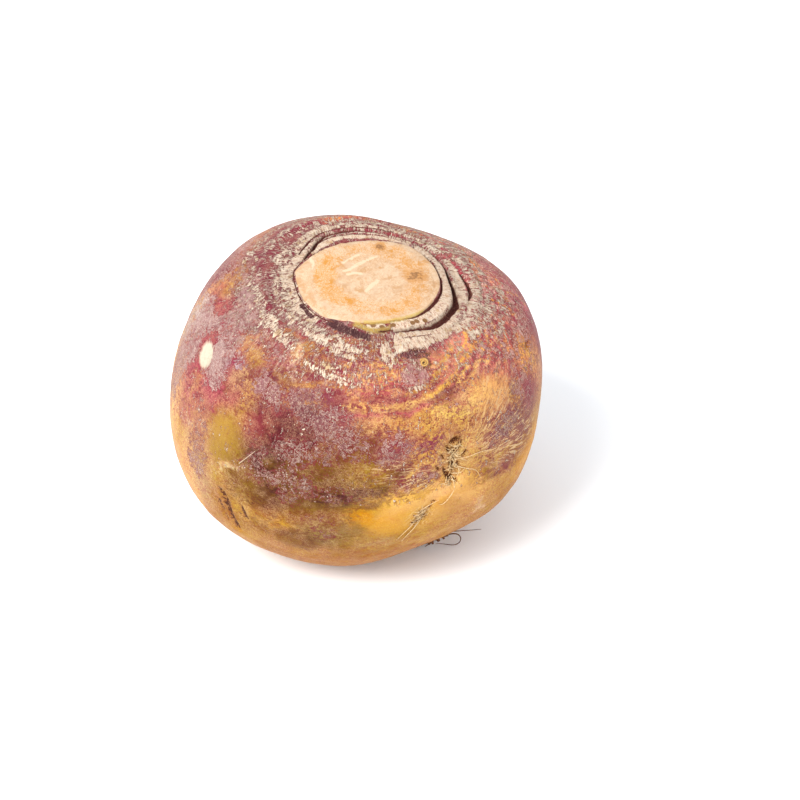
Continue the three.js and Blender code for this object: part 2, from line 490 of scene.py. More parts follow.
def carveBody(places):
    outward = skinNormals()
    directions = wobbled(places, 0.6, 4, 21)
    rise = np.zeros(len(places))
    outside = smoothStep(*bodyForm["wavesFrom"], crownPolar(places)[0])
    outside = np.where(toCrown(places)[:, 2] < 0, 1, outside)
    for seed, (size, height) in enumerate(bodyForm["waves"]):
        rise += outside * height * roughNoise(places, size * mm, 30 + seed)
    for *oval, height in swells:
        rise += height * smoothStep(1.3, 0, ovalAt(directions, *oval))
    reach, turns = alongRoot(places)
    rings = onPipe(turns, wrinkles["stretch"], reach)
    low = smoothStep(wrinkles["fromTip"], wrinkles["toTip"], reach / reachPerDegree)
    low *= smoothStep(-0.4, 0.3, roughNoise(places, 16 * mm, 45))
    rise += wrinkles["height"] * (0.35 + low) * roughNoise(rings, wrinkles["size"], 46)
    fine = roughNoise(places, 1.5 * mm, 41)
    folds = np.zeros(len(places))
    for crease in creases:
        apart, share = lineAt(directions, crease["stops"])
        fade = fadedEnds(share, 0.12)
        sunk = fade * np.exp(-((apart / crease["wide"]) ** 2))
        rise -= crease["depth"] * (1 + 0.4 * fine) * sunk
        # painted shade along each crease, as dark as that crease's setting
        inCrease = fade * smoothStep(1.3, 0.3, apart / crease["wide"] + 0.3 * fine)
        folds = np.maximum(folds, crease.get("dark", 0) * inCrease)
    pits = np.zeros(len(places))
    torn = np.zeros(len(places))
    for mound in scarMounds:
        torn = np.maximum(torn, smoothStep(1.4, 0.4, ovalAt(directions, *mound)))
    tornRise = bodyForm["moundHeight"] + bodyForm["moundRough"] * roughNoise(places, 2.2 * mm, 51, layers=2)
    rise += torn * tornRise
    for *oval, depth in scarPits:
        pit = smoothStep(1.7, 0.3, ovalAt(directions, *oval))
        rise -= depth * pit
        pits = np.maximum(pits, pit)
    inChip = smoothStep(1.08, 0.95, ovalAt(directions, *chip["oval"]))
    rise -= chip["depth"] * inChip
    bud = ovalAt(directions, *coilBud["oval"])
    where, half, deep = bodyForm["budRing"]
    furrow = np.exp(-(((bud - where) / half) ** 2))
    rise += coilBud["height"] * (smoothStep(1, 0.4, bud) - deep * furrow)
    rise -= stubHollow["depth"] * smoothStep(1, 0, ovalAt(directions, *stubHollow["oval"]))
    marks = dict(pits=pits, torn=torn, chip=inChip, bud=bud, folds=folds)
    return places + outward * rise[:, None] * mm, marks


def skinNormals():
    flat = np.empty(len(skin.data.vertices) * 3)
    skin.data.vertex_normals.foreach_get("vector", flat)
    return flat.reshape(-1, 3)


print("stage: carving the body")
bodyPlaces, bodyMarks = carveBody(vertexPlaces(skin))
places, crownMarks = carveCrown(bodyPlaces)
places[:, 2] = np.maximum(places[:, 2], 0)  # the flat spot stays flat
setVertexPlaces(skin, places)

# painting: where each tone lies, kept on the vertices

tones = allFromSrgb(
    plum=(134, 62, 80),
    purple=(148, 76, 92),
    rose=(184, 88, 104),
    brick=(194, 110, 100),
    maroon=(132, 54, 68),
    wine=(92, 44, 50),
    tan=(212, 162, 112),
    ochre=(206, 160, 90),
    gold=(208, 166, 84),
    straw=(224, 184, 114),
    olive=(158, 116, 48),
    umber=(118, 70, 42),
    orange=(234, 178, 84),
    amber=(232, 164, 44),
    peach=(246, 196, 136),
    pink=(212, 154, 130),
    sand=(208, 172, 138),
    cream=(244, 222, 190),
    mustard=(190, 148, 70),
    fawn=(184, 130, 64),
    clay=(178, 146, 106),
)
richness = 1.07  # how far the tones stand off from grey, as against the list above
bloomTones = allFromSrgb(
    middle=(172, 128, 134),
    pale=(204, 176, 178),
    deep=(120, 76, 84),
)
# tone, turn, tip, half width, half height, tilt, all in degrees, and how strong: later ones lie on top
patches = [
    ("rose", 198, 64, 26, 20, 10, 0.8),
    ("rose", 228, 46, 26, 10, 0, 0.6),
    ("rose", 203, 76, 9, 10, 0, 1),
    ("tan", 204, 73, 3, 3, 0, 0.6),
    ("rose", 218, 70, 9, 5, 12, 1),
    ("tan", 216, 52, 4, 4, 0, 0.9),
    ("ochre", 224, 54, 5, 4, 0, 0.9),
    ("umber", 227, 60, 4, 6, 0, 0.5),
    ("ochre", 229, 66, 4, 6, 0, 0.8),
    ("gold", 231, 72, 5, 4, 0, 0.7),
    ("pink", 211, 85, 10, 9, 0, 0.9),
    ("rose", 203, 83, 6, 4, 0, 0.7),
    ("sand", 212, 93, 9, 7, 0, 0.6),
    ("peach", 192, 90, 7, 15, 0, 0.9),
    ("peach", 175, 80, 8, 18, 0, 0.9),
    ("peach", 173, 66, 5, 14, 0, 0.7),
    ("mustard", 225, 82, 8, 12, 0, 1),
    ("ochre", 223, 79, 5, 7, 0, 0.6),
    ("olive", 230, 89, 6, 8, 0, 0.7),
    ("peach", 226, 90, 6, 1.5, 26, 0.9),
    ("brick", 272, 57, 32, 5, 0, 0.6),
    ("tan", 268, 62, 13, 2.5, 0, 0.7),
    ("rose", 284, 52, 13, 6, 0, 0.4),
    ("maroon", 245, 70, 12, 8, 0, 0.9),
    ("brick", 236, 72, 7, 5, 0, 0.5),
    ("rose", 238, 70, 4, 3, 0, 0.6),
    ("plum", 253, 63, 12, 9, 0, 1),
    ("wine", 256, 67, 7, 6, 0, 0.5),
    ("plum", 264, 70, 9, 9, 0, 0.9),
    ("umber", 256, 86, 15, 11, 0, 1),
    ("wine", 241, 82, 8, 7, 0, 0.9),
    ("olive", 242, 82, 2.5, 2.5, 0, 0.8),
    ("olive", 255, 82, 7, 5, 0, 0.5),
    ("umber", 240, 94, 13, 9, 0, 1),
    ("olive", 234, 92, 4, 8, 0, 0.7),
    ("wine", 245, 88, 7, 6, 0, 0.6),
    ("umber", 274, 74, 9, 8, 0, 0.8),
    ("umber", 277, 84, 10, 8, 8, 0.9),
    ("olive", 270, 83.5, 9, 8, 0, 1),
    ("mustard", 271, 84, 6, 5, 0, 0.8),
    ("wine", 264, 91, 10, 3.5, 6, 1),
    ("tan", 277, 67, 9, 4, 0, 0.8),
    ("ochre", 292, 67, 13, 5, 6, 0.9),
    ("purple", 281, 75, 7, 4.5, 20, 0.9),
    ("plum", 288, 80, 6, 2.5, 25, 0.7),
    ("orange", 287, 99, 22, 10, 14, 1),
    ("mustard", 316, 110, 5, 4, 0, 0.8),
    ("peach", 296, 93, 9, 4, 20, 0.9),
    ("peach", 283, 96, 8, 3, 15, 0.6),
    ("amber", 271, 99, 3, 4, 0, 0.9),
    ("amber", 278, 99, 6, 2, 10, 0.4),
    ("tan", 305, 104, 14, 7, 0, 0.8),
    ("peach", 308, 98, 8, 5, 0, 0.8),
    ("ochre", 285, 113, 20, 5, 0, 0.8),
    ("sand", 274, 112, 7, 3, 0, 0.6),
    ("umber", 257, 103, 12, 8, 0, 0.75),
    ("olive", 267, 107, 4, 5, 0, 0.9),
    ("sand", 260, 110, 6, 4, 0, 0.7),
    ("fawn", 242, 107, 11, 7, 0, 1),
    ("orange", 243, 105, 6, 3, 0, 0.5),
    ("ochre", 232, 104, 5, 7, 0, 0.8),
    ("peach", 206, 104, 9, 14, 0, 0.7),
    ("sand", 216, 103, 6, 8, 0, 0.8),
    ("ochre", 228, 117, 10, 6, 0, 0.8),
    ("tan", 248, 117, 12, 5, 0, 0.8),
    ("tan", 316, 68, 13, 8, 8, 0.9),
    ("straw", 313, 66, 5, 4, 0, 0.5),
    ("ochre", 308, 73, 6, 4, 0, 0.6),
    ("gold", 303, 71, 6, 4, 0, 0.6),
    ("umber", 301, 62, 6, 2, 8, 0.8),
    ("brick", 304, 53, 6, 6, 0, 0.9),
    ("rose", 314, 53, 9, 6, 10, 0.5),
    ("pink", 320, 50, 12, 5, 10, 0.6),
    ("rose", 328, 56, 9, 7, 20, 0.9),
    ("purple", 335, 72, 9, 12, 0, 0.9),
    ("rose", 348, 56, 12, 12, 0, 0.8),
    ("plum", 342, 50, 14, 8, 0, 0.8),
    ("plum", 347, 70, 6, 12, 0, 0.8),
    ("tan", 339, 66, 5, 6, 0, 0.6),
    ("ochre", 328, 73, 4, 6, 0, 0.7),
    ("straw", 306, 80, 6, 5, 0, 0.8),
    ("purple", 319, 80, 9, 4, 10, 0.9),
    ("straw", 314, 86, 9, 3, 0, 0.7),
    ("ochre", 326, 83, 6, 4, 0, 0.8),
    ("gold", 322, 90, 10, 4, 0, 0.8),
    ("purple", 321, 94, 7, 3, 16, 0.95),
    ("olive", 312, 92, 3.5, 5, 12, 0.85),
    ("purple", 328, 85, 5, 4, 0, 0.9),
    ("sand", 319, 92, 3, 0.8, 24, 0.7),
    ("ochre", 318, 102, 10, 5, 0, 0.8),
    ("tan", 351, 76, 6, 12, 0, 0.7),
    ("orange", 336, 100, 10, 8, 0, 0.9),
    ("ochre", 174.5, 47, 6, 7, 0, 0.9),
    ("brick", 178, 52, 4, 4, 0, 0.8),
    ("rose", 187, 51, 6, 5, 0, 1),
    ("ochre", 180, 46, 4, 5, 0, 0.8),
    ("cream", 184.5, 48, 1.3, 1.3, 0, 0.9),
    ("maroon", 133, 35, 12, 3, 20, 0.8),
    ("brick", 112, 29.5, 14, 3, 0, 0.4),
    ("umber", 118, 31, 10, 1.6, 0, 0.5),
    ("tan", 150, 44, 10, 6, 0, 0.5),
    ("rose", 262, 40, 6, 2.5, 0, 1),
    ("maroon", 250, 49, 6, 6, 0, 1),
    ("cream", 241, 47, 2.6, 3.5, 0, 1),
    ("gold", 246, 44, 3, 2, 0, 0.7),
    ("gold", 233, 43, 3, 3, 0, 0.6),
    ("rose", 331, 49, 8, 4, 0, 0.3),
    ("rose", 6, 50, 8, 5, 0, 0.8),
    ("ochre", 347, 66, 5, 6, 0, 0.7),
    ("plum", 20, 60, 26, 16, 0, 0.8),
    ("rose", 8, 58, 8, 6, 0, 0.7),
    ("brick", 7, 50, 3.4, 2.4, 0, 1),
    ("rose", 8, 64, 4, 3, 0, 1),
    ("cream", 350, 50.3, 1.6, 1.4, 0, 0.9),
    ("cream", 344, 43.9, 1.2, 1.0, 0, 0.8),
    ("plum", 355, 54, 12, 9, 0, 0.6),
    ("orange", 326, 48, 1.8, 1.4, 0, 0.9),
    ("sand", 336, 47, 3, 1.6, 20, 0.8),
    ("ochre", 20, 44, 12, 1.8, -12, 0.8),
    ("olive", 264, 112, 6, 5, 0, 0.5),
    ("clay", 258, 108, 8, 6, 0, 0.8),
    ("tan", 221.5, 62, 4, 4.5, 0, 0.8),
    ("maroon", 240, 56, 6, 3, 0, 0.6),
    ("umber", 250, 112, 7, 5, 0, 0.5),
    ("rose", 48, 72, 18, 10, 15, 0.7),
    ("ochre", 30, 86, 22, 7, -10, 0.8),
    ("plum", 75, 58, 20, 12, -10, 0.8),
    ("maroon", 98, 76, 22, 8, 8, 0.8),
    ("gold", 85, 90, 18, 6, 12, 0.7),
    ("tan", 118, 60, 10, 6, 30, 0.8),
    ("plum", 140, 66, 22, 12, 10, 0.8),
    ("olive", 138, 90, 16, 7, -12, 0.8),
    ("ochre", 168, 84, 14, 8, 25, 0.8),
    ("pink", 60, 100, 16, 6, 0, 0.7),
    ("umber", 112, 96, 9, 4, 0, 0.5),
    ("peach", 0, 112, 22, 8, 0, 0.7),
    ("peach", 120, 116, 24, 8, 0, 0.7),
    ("sand", 60, 135, 18, 8, 20, 0.6),
    ("ochre", 200, 140, 20, 10, -20, 0.6),
]
secondCoats = [  # the same, only in the coat that shows through in flecks
    ("tan", 282, 52, 22, 7, 0, 0.85),
    ("ochre", 262, 45, 26, 7, 0, 0.7),
    ("maroon", 270, 61, 26, 4, 0, 0.8),
    ("maroon", 300, 66, 16, 7, 0, 0.45),
    ("maroon", 4, 56, 28, 16, 0, 0.8),
    ("maroon", 345, 54, 14, 8, 0, 0.7),
    ("gold", 345, 70, 7, 7, 0, 0.6),
    ("ochre", 244, 60, 12, 7, 0, 0.7),
    ("maroon", 226, 66, 14, 8, 0, 0.6),
    ("maroon", 200, 44, 26, 8, 0, 0.7),
    ("ochre", 184, 70, 8, 18, 0, 0.5),
    ("tan", 206, 80, 10, 8, 0, 0.7),
    ("olive", 262, 75, 12, 6, 0, 0.5),
    ("olive", 252, 90, 16, 8, 0, 0.6),
    ("wine", 270, 88, 12, 5, 0, 0.5),
    ("ochre", 292, 75, 10, 6, 0, 0.7),
    ("purple", 318, 88, 12, 8, 0, 0.6),
    ("gold", 300, 110, 24, 8, 0, 0.6),
    ("umber", 246, 108, 16, 8, 0, 0.4),
    ("ochre", 90, 36, 60, 10, 0, 0.7),
    ("maroon", 120, 56, 40, 12, 0, 0.6),
]
blooms = [  # waxy grey bloom: turn, tip, half width, half height, tilt, how much of it is left there
    (190, 58, 13, 20, 0, 0.95),
    (188, 74, 7, 15, 0, 1),
    (206, 50, 12, 9, 0, 0.86),
    (174, 82, 8, 14, 0, 0.1),
    (176, 51, 6, 6, 0, 0.1),
    (187, 51, 6, 5, 0, 0.15),
    (203, 77, 9, 9, 0, 0.15),
    (202, 64, 6, 6, 0, 0.15),
    (211, 63, 7, 8, 0, 1.1),
    (216, 52, 4, 4, 0, 0.1),
    (224, 54, 5, 4, 0, 0.1),
    (222, 66, 4, 6, 0, 0.1),
    (227, 60, 4, 7, 0, 0.2),
    (218, 73, 9, 4, 8, 0.1),
    (235, 62, 4.5, 6.5, 0, 0.75),
    (231, 71, 5, 5, 0, 0.1),
    (244, 64, 3, 6, 0, 0.25),
    (252, 63, 8, 6, 0, 1.25),
    (262, 69, 8, 8, 0, 0.72),
    (244, 70, 10, 5, 0, 0.1),
    (256, 76, 9, 3.5, 0, 0.55),
    (247, 76, 5, 4, 0, 0.5),
    (240, 85, 7, 6, 0, 0.45),
    (242, 82, 3, 3, 0, 0),
    (224, 81, 9, 12, 0, 0),
    (213, 84, 4, 9, 0, 0.4),
    (214, 95, 4, 6, 0, 0.6),
    (249, 89, 6, 7, 0, 0.5),
    (263, 90, 8, 3.5, 0, 0.45),
    (257, 83, 8, 4, 0, 0.15),
    (270, 84, 9, 8, 0, 0.05),
    (276, 73, 7, 6, 0, 0.35),
    (281, 75, 7, 4.5, 20, 0.55),
    (292, 70, 8, 5, 0, 0.1),
    (282, 66, 14, 4, 0, 0.15),
    (258, 104, 9, 7, 0, 0.3),
    (242, 107, 12, 8, 0, 0),
    (290, 100, 26, 11, 12, -0.4),
    (316, 68, 13, 8, 8, 0.1),
    (300, 72, 8, 4, 0, 0.15),
    (300, 83, 5, 8, 0, 0),
    (320, 79, 8, 4, 10, 0.6),
    (335, 72, 9, 12, 0, 0.42),
    (322, 96, 8, 2.5, 0, 0.6),
    (312, 86, 9, 4, 0, 0.15),
    (316, 54, 11, 8, 10, 0.05),
    (330, 56, 9, 7, 20, 0.3),
    (292, 53, 6, 5, 0, 0.85),
    (281, 51, 5, 6, 0, 0.15),
    (303, 53, 5, 6, 0, 0.05),
    (276, 59, 26, 4, 0, 0.12),
    (240, 56, 8, 3, 0, 0.15),
    (249, 50, 7, 6, 0, 0.15),
    (241, 47, 3, 4, 0, 0),
    (262, 40, 5, 2.5, 0, 0.1),
    (350, 50, 15, 11, 0, 0.54),
    (332, 52, 8, 4, 0, 0.4),
    (14, 64, 12, 12, 0, 0.15),
    (330, 97, 13, 9, 0, -0.3),
    (335, 46, 8, 4, 0, 0.4),
    (112, 29.5, 15, 4, 0, 0.05),
    (4, 56, 20, 13, 0, 0.5),
    (20, 44, 18, 8, 0, 0.55),
    (40, 62, 16, 9, 20, 0.65),
    (48, 72, 12, 6, 15, 0.15),
    (70, 50, 20, 9, -10, 0.75),
    (100, 64, 14, 10, 20, 0.7),
    (98, 76, 14, 6, 8, 0.2),
    (150, 52, 18, 8, 20, 0.7),
    (150, 78, 10, 7, -20, 0.6),
    (22, 80, 12, 6, 15, 0.5),
    (80, 82, 9, 6, 0, 0.6),
    (172, 70, 9, 9, 30, 0.7),
    (120, 86, 9, 5, 0, 0.5),
    (45, 92, 8, 4, 10, 0.5),
]
strokes = [  # thin lines in the skin: tone, half width in degrees, how strong, (turn, tip) stops
    ("gold", 0.7, 0.7, [(236, 54.5), (242, 56.5), (250, 56.8), (258, 56.2), (266, 56.5)]),
    ("maroon", 0.5, 0.9, [(245, 58.2), (258, 58.6), (270, 58.8), (282, 59.4), (291, 60)]),
    ("straw", 0.8, 0.7, [(262, 61), (272, 62), (284, 62.2), (294, 61.5)]),
    ("rose", 0.5, 0.8, [(262, 63.4), (273, 64), (285, 64), (296, 63)]),
    ("gold", 0.8, 0.9, [(284, 59.4), (290, 58.5), (296, 57), (300, 54.5), (304, 52), (309, 50.5),
                        (314, 49.5)]),
    ("maroon", 0.5, 0.9, [(280, 57.6), (287, 57.6), (294, 56.2), (299, 53.5), (303, 51)]),
    ("maroon", 0.5, 0.8, [(288, 60), (295, 58.6), (301, 56.4), (306, 54), (312, 52.6), (318, 52)]),
    ("gold", 0.9, 0.9, [(290, 61), (297, 59.8), (304, 58), (312, 56.4), (319, 54.6), (326, 50.5), (331, 46)]),
    ("wine", 0.5, 0.8, [(292, 62), (300, 60.6), (308, 59.4), (316, 58), (322, 55.5), (328, 51.5)]),
    ("straw", 0.7, 0.9, [(306, 61), (314, 59.6), (321, 57.6), (327, 54), (333, 49)]),
    ("gold", 0.7, 0.8, [(312, 54), (318, 52), (323, 49), (327, 45)]),
    ("tan", 0.7, 0.9, [(322, 60.5), (328, 57), (333, 53), (337, 48)]),
    ("wine", 0.5, 0.7, [(325, 61.5), (331, 58), (336, 54), (339, 49)]),
    ("straw", 0.7, 0.9, [(328, 63), (334, 59.5), (339, 55), (342, 50)]),
    ("tan", 0.7, 0.8, [(331, 67), (337, 62.5), (342, 57.5), (346, 52)]),
    ("wine", 0.5, 0.6, [(334, 68), (340, 63), (345, 58), (349, 53)]),
    ("straw", 0.6, 0.6, [(338, 71), (343, 66), (348, 61)]),
    ("gold", 0.5, 0.8, [(274, 42), (275, 46), (276, 50), (277, 54)]),
    ("cream", 0.6, 0.9, [(242, 50), (243, 53), (244, 56)]),
    ("maroon", 1.1, 0.8, [(196, 36), (206, 38), (216, 39.6), (226, 41.6)]),
    ("rose", 0.8, 0.9, [(350, 44), (356, 48), (3, 53), (8, 60)]),
    ("ochre", 0.6, 1.0, [(354, 48), (355, 52), (356, 57), (356, 62)]),
    ("brick", 0.7, 0.9, [(342, 47), (346, 52), (349, 58), (350, 64)]),
    ("gold", 0.5, 0.9, [(0, 44), (3, 48), (6, 54), (9, 61), (10, 68)]),
    ("sand", 0.6, 0.8, [(338, 44), (343, 48), (348, 53), (351, 57)]),
    ("wine", 0.5, 0.9, [(345, 43), (351, 47.5), (357, 53), (2, 60)]),
    ("sand", 0.6, 0.8, [(10, 46), (6, 50), (2, 56), (0, 64)]),
    ("ochre", 0.7, 0.8, [(40, 36), (26, 40), (14, 46), (10, 54)]),
    ("maroon", 0.7, 0.8, [(60, 36), (40, 40), (24, 46), (15, 54)]),
    ("cream", 1.5, 0.55, [(309.6, 101), (309.2, 105), (308.4, 109)]),
    ("straw", 0.6, 0.8, [(304, 77), (310, 76), (318, 77), (326, 80)]),
    ("tan", 0.6, 0.8, [(304, 80), (312, 80), (320, 82.5), (328, 86)]),
    ("straw", 0.6, 0.8, [(304, 83), (312, 84), (320, 87), (328, 92)]),
    ("tan", 0.6, 0.7, [(303, 87), (310, 90), (317, 94.5), (323, 100)]),
    ("straw", 0.6, 0.7, [(298, 78), (291, 80), (284, 84), (278, 89)]),
    ("plum", 0.9, 0.8, [(298, 80), (291, 82.5), (284, 87), (277, 91.5)]),
    ("sand", 0.5, 0.7, [(297, 82), (291, 84.5), (284, 88.5)]),
    ("umber", 0.7, 0.8, [(296, 84), (290, 86.5), (283, 90.5), (275, 94), (265, 96.5)]),
    ("cream", 0.6, 1.0, [(220, 93.5), (224, 91.5), (228, 89.4), (232, 87)]),
    ("cream", 0.5, 0.5, [(201, 86), (206, 85.5), (211, 85)]),
]
fanOut = dict(  # streaks that spread from the upper root scar
    turn=301,
    tip=84,
    spread=16,
    stretch=0.12,
    reaches=[(322, 82, 20, 12, -30, 1), (326, 66, 12, 10, -30, 0.6), (284, 84, 14, 6, -22, 0.8)],
)
calmOvals = [(288, 99, 21, 9, 14), (225, 82, 5, 8), (320, 68, 8, 6)]  # where the skin is smooth and even
shades = [  # painted light and shade, with some tone corrections: wide parts made lighter or darker: turn, tip, half width, half height, gain
    (335, 52, 34, 26, (1.34, 1.32, 1.24)),
    (356, 54, 28, 28, (1.32, 1.2, 1.16)),
    (26, 42, 22, 12, (1.42, 1.36, 1.32)),
    (80, 38, 62, 22, (1.62, 1.62, 1.5)),
    (212, 72, 34, 38, (0.78, 0.82, 0.8)),
    (230, 90, 30, 16, (0.94, 0.92, 0.86)),
    (256, 84, 26, 18, (0.84, 0.84, 0.8)),
    (252, 96, 42, 26, (0.84, 0.88, 0.82)),
    (255, 114, 42, 10, (0.86, 0.86, 0.7)),
    (236, 68, 5, 4, (0.84, 0.8, 0.8)),
    (291, 72, 12, 8, (1.08, 1.14, 1.14)),
    (297, 63, 9, 5, (1.16, 1.26, 1.24)),
    (290, 81, 9, 6, (1.2, 1.28, 1.0)),
    (282, 91, 9, 4, (1.14, 1.2, 1.3)),
    (252, 101, 10, 6, (1.14, 1.18, 1.0)),
    (265, 90, 8, 4, (1.16, 1.2, 1.1)),
    (249, 54, 13, 4, (0.84, 0.76, 0.84)),
    (253, 68, 7, 5, (0.88, 0.82, 0.84)),
    (240, 56, 6, 4, (0.78, 0.72, 0.78)),
    (246, 46.5, 5, 3, (0.9, 0.82, 0.86)),
    (254, 78, 24, 12, (0.84, 0.8, 0.74)),
    (240, 68, 10, 6, (0.86, 0.8, 0.8)),
    (246, 74, 10, 8, (0.82, 0.76, 0.78)),
    (100, 24, 60, 10, (1.2, 1.2, 1.14)),
    (256, 93, 20, 7, (0.82, 0.8, 0.72)),
    (254, 111, 26, 6, (0.94, 0.92, 0.74)),
    (302, 67, 10, 7, (1.08, 1.16, 1.12)),
    (322, 46, 12, 5, (1.24, 1.24, 1.24)),
    (320, 99, 18, 9, (0.96, 0.94, 0.72)),
    (330, 91, 10, 8, (0.84, 0.76, 0.56)),
    (200, 50, 24, 12, (0.92, 0.9, 0.92)),
    (278, 50, 16, 6, (1.18, 1.2, 1.18)),
    (236, 60, 6, 6, (0.82, 0.74, 0.8)),
    (246, 63, 8, 6, (0.84, 0.74, 0.8)),
    (253, 49.5, 5, 3, (0.86, 0.8, 0.88)),
    (259, 63, 9, 4, (0.84, 0.88, 0.9)),
    (245, 72, 9, 5, (0.82, 0.76, 0.74)),
    (238, 83, 8, 6, (0.82, 0.76, 0.78)),
    (248, 118, 40, 10, (0.96, 0.92, 0.72)),
    (296, 45, 8, 4, (1.2, 1.26, 1.26)),
    (340, 46, 24, 12, (1.18, 1.18, 1.16)),
    (28, 36, 20, 8, (1.2, 1.26, 1.2)),
    (340, 74, 8, 9, (1.16, 1.2, 1.1)),
    (175, 64, 7, 10, (1.1, 1.2, 1.2)),
    (300, 88, 14, 5, (1.1, 1.14, 1.06)),
    (326, 67, 15, 8, (1.12, 1.14, 1.1)),
    (303, 66, 8, 5, (1.06, 1.18, 1.24)),
    (303, 80, 8, 5, (1.08, 1.14, 1.0)),
    (288, 92, 12, 5, (1.06, 1.1, 1.18)),
    (221, 61, 6, 5, (1.0, 1.12, 1.36)),
    (176, 66, 7, 8, (1.06, 1.22, 1.24)),
]
bloomTints = [  # tint, turn, tip, half width, half height, tilt, how strong
    ("pale", 196, 62, 22, 24, 0, 0.9),
    ("deep", 256, 70, 16, 16, 0, 0.8),
    ("deep", 252, 64, 7, 5, 0, 0.6),
    ("deep", 262, 90, 16, 9, 5, 0.9),
    ("deep", 290, 50, 12, 5, 0, 0.3),
    ("deep", 286, 76, 9, 7, 0, 0.7),
    ("deep", 322, 80, 10, 18, 0, 0.6),
    ("pale", 350, 50, 20, 14, 0, 1),
    ("pale", 90, 40, 60, 16, 0, 0.7),
    ("deep", 60, 70, 30, 8, 0, 0.6),
    ("pale", 110, 56, 20, 10, 10, 0.6),
]
corkRings = [  # dead corky rings: path of (angle round the cut, radius), half width, how much
    dict(path=[(140, 26.6), (155, 26.4), (171, 27.6), (190, 26.8), (212, 26.8), (232, 27.4)],
         wide=2.8, much=0.76),
    dict(path=[(20, 33), (50, 34), (80, 34.5), (105, 35.5)], wide=2.2, much=0.6),
    dict(path=[(-10, 27.9), (5, 28.2), (20, 28.6), (40, 29.2)], wide=1.9, much=0.9),
    dict(path=[(40, 30.6), (60, 30.8), (80, 30.6), (100, 31.2), (120, 31.6), (150, 30)], wide=2.2, much=0.7),
    dict(path=[(60, 25.9), (80, 24.8), (100, 24.6), (125, 25), (148, 24)], wide=1.6, much=0.95),
    dict(path=[(60, 27.4), (80, 27.2), (100, 27.4), (125, 27.8), (148, 26.4)], wide=1.0, much=0.8),
    dict(path=[(-96, 23), (-90, 23), (-83, 23.3), (-79, 23)], wide=1.2, much=1),
    dict(path=[(-77, 23), (-60, 23.2), (-40, 23.8), (-20, 24), (0, 24), (20, 24.1), (40, 25.3), (60, 26)],
         wide=2.3, much=1),
    dict(path=[(90, 36), (115, 36.5), (140, 36)], wide=1.6, much=0.5),
    dict(path=[(20, 38), (50, 40), (90, 41), (120, 41), (155, 39)], wide=2.8, much=0.46),
    dict(path=[(40, 45), (80, 47), (120, 47), (160, 44)], wide=2.6, much=0.42),
]
corkBands = [  # the same, by (turn, tip) stops and half width in degrees
    dict(stops=[(155, 27.5), (173, 28), (190, 30.2), (206, 32.4), (220, 35.1), (232, 37), (244.5, 38.8),
                (257, 42), (265, 44), (270, 46.4)], wide=3.6, much=0.6),
    dict(stops=[(186, 38.6), (200, 39.7), (210, 41), (218, 42.7), (225, 44), (236, 45.4), (240, 46.2)],
         wide=2.5, much=0.6),
    dict(stops=[(252, 48.4), (258, 49.6), (265, 51.2)], wide=1.8, much=0.55),
    dict(stops=[(244, 50.5), (252, 52), (259, 53.2), (267, 54.2), (272, 54.6)], wide=1.2, much=0.52),
    dict(stops=[(285, 42.6), (294, 42.2), (302, 41.8), (310, 41.6), (318, 41.6), (328, 42)],
         wide=4.6, much=1),
    dict(stops=[(280, 41.5), (282, 45), (283.5, 49.5)], wide=2.4, much=0.7),
    dict(stops=[(322, 42), (332, 40.5), (342, 39), (350, 37.5), (0, 36), (12, 35)], wide=2.3, much=0.72),
    dict(stops=[(318, 45), (326, 45), (336, 43.5), (346, 42)], wide=2.6, much=0.66),
    dict(stops=[(330, 48), (342, 46), (354, 44)], wide=2.0, much=0.6),
    dict(stops=[(322, 49), (334, 50.5), (346, 49), (358, 48)], wide=2.2, much=0.5),
    dict(stops=[(335, 56), (345, 55), (355, 53), (5, 52)], wide=1.8, much=0.44),
    dict(stops=[(286, 57.5), (290, 57.8), (294, 57.4)], wide=1.1, much=0.7),
    dict(stops=[(165, 38), (180, 39.5), (192, 42)], wide=1.8, much=0.5),
    dict(stops=[(345, 45), (0, 43), (15, 41), (30, 39)], wide=2.2, much=0.58),
]


softEdge = (1.4, 0.4)  # where an oval of tone begins and where it is full, as shares of its size
hillTones = [("ochre", 74, 92), ("fawn", 92, 104)]  # tone of the whole root from one tip to the other
bloomByTip = [(20, 0.4), (30, 0.42), (50, 0.42), (62, 0.34), (75, 0.2), (92, 0.06), (105, -0.1)]


def tipOf(directions):  # degrees down from straight up
    return np.degrees(np.arccos(np.clip(directions[:, 2], -1, 1)))


def paintTones(directions, height, more):
    base = np.array(tones["plum"]) + np.zeros((len(directions), 3))
    for name, start, end in hillTones:
        share = smoothStep(start, end, tipOf(directions) + 8 * height)[:, None]
        base = mixed(base, np.array(tones[name]), share)
    for name, *oval, strong in patches + more:
        share = strong * smoothStep(*softEdge, ovalAt(directions, *oval))[:, None]
        base = mixed(base, np.array(tones[name]), share)
    for name, wide, strong, stops in strokes:
        apart, share = lineAt(directions, stops)
        share = strong * fadedEnds(share, 0.1) * smoothStep(1.3 * wide, 0.4 * wide, apart)
        base = mixed(base, np.array(tones[name]), share[:, None])
    grey = base.mean(axis=1, keepdims=True)
    return np.clip(grey + richness * (base - grey), 0.004, 1)


# painted light and shade: gains that lighten or darken wide parts of the skin, with some tone corrections
def shadeGain(directions):
    gain = np.ones((len(directions), 3))
    for *oval, amount in shades:
        share = smoothStep(1.35, 0.4, ovalAt(directions, *oval))[:, None]
        gain *= 1 + (np.array(amount) - 1) * share
    return gain


def paintTints(directions):
    tint = np.array(bloomTones["middle"]) + np.zeros((len(directions), 3))
    for name, *oval, strong in bloomTints:
        share = strong * smoothStep(1.3, 0.6, ovalAt(directions, *oval))[:, None]
        tint = mixed(tint, np.array(bloomTones[name]), share)
    return tint


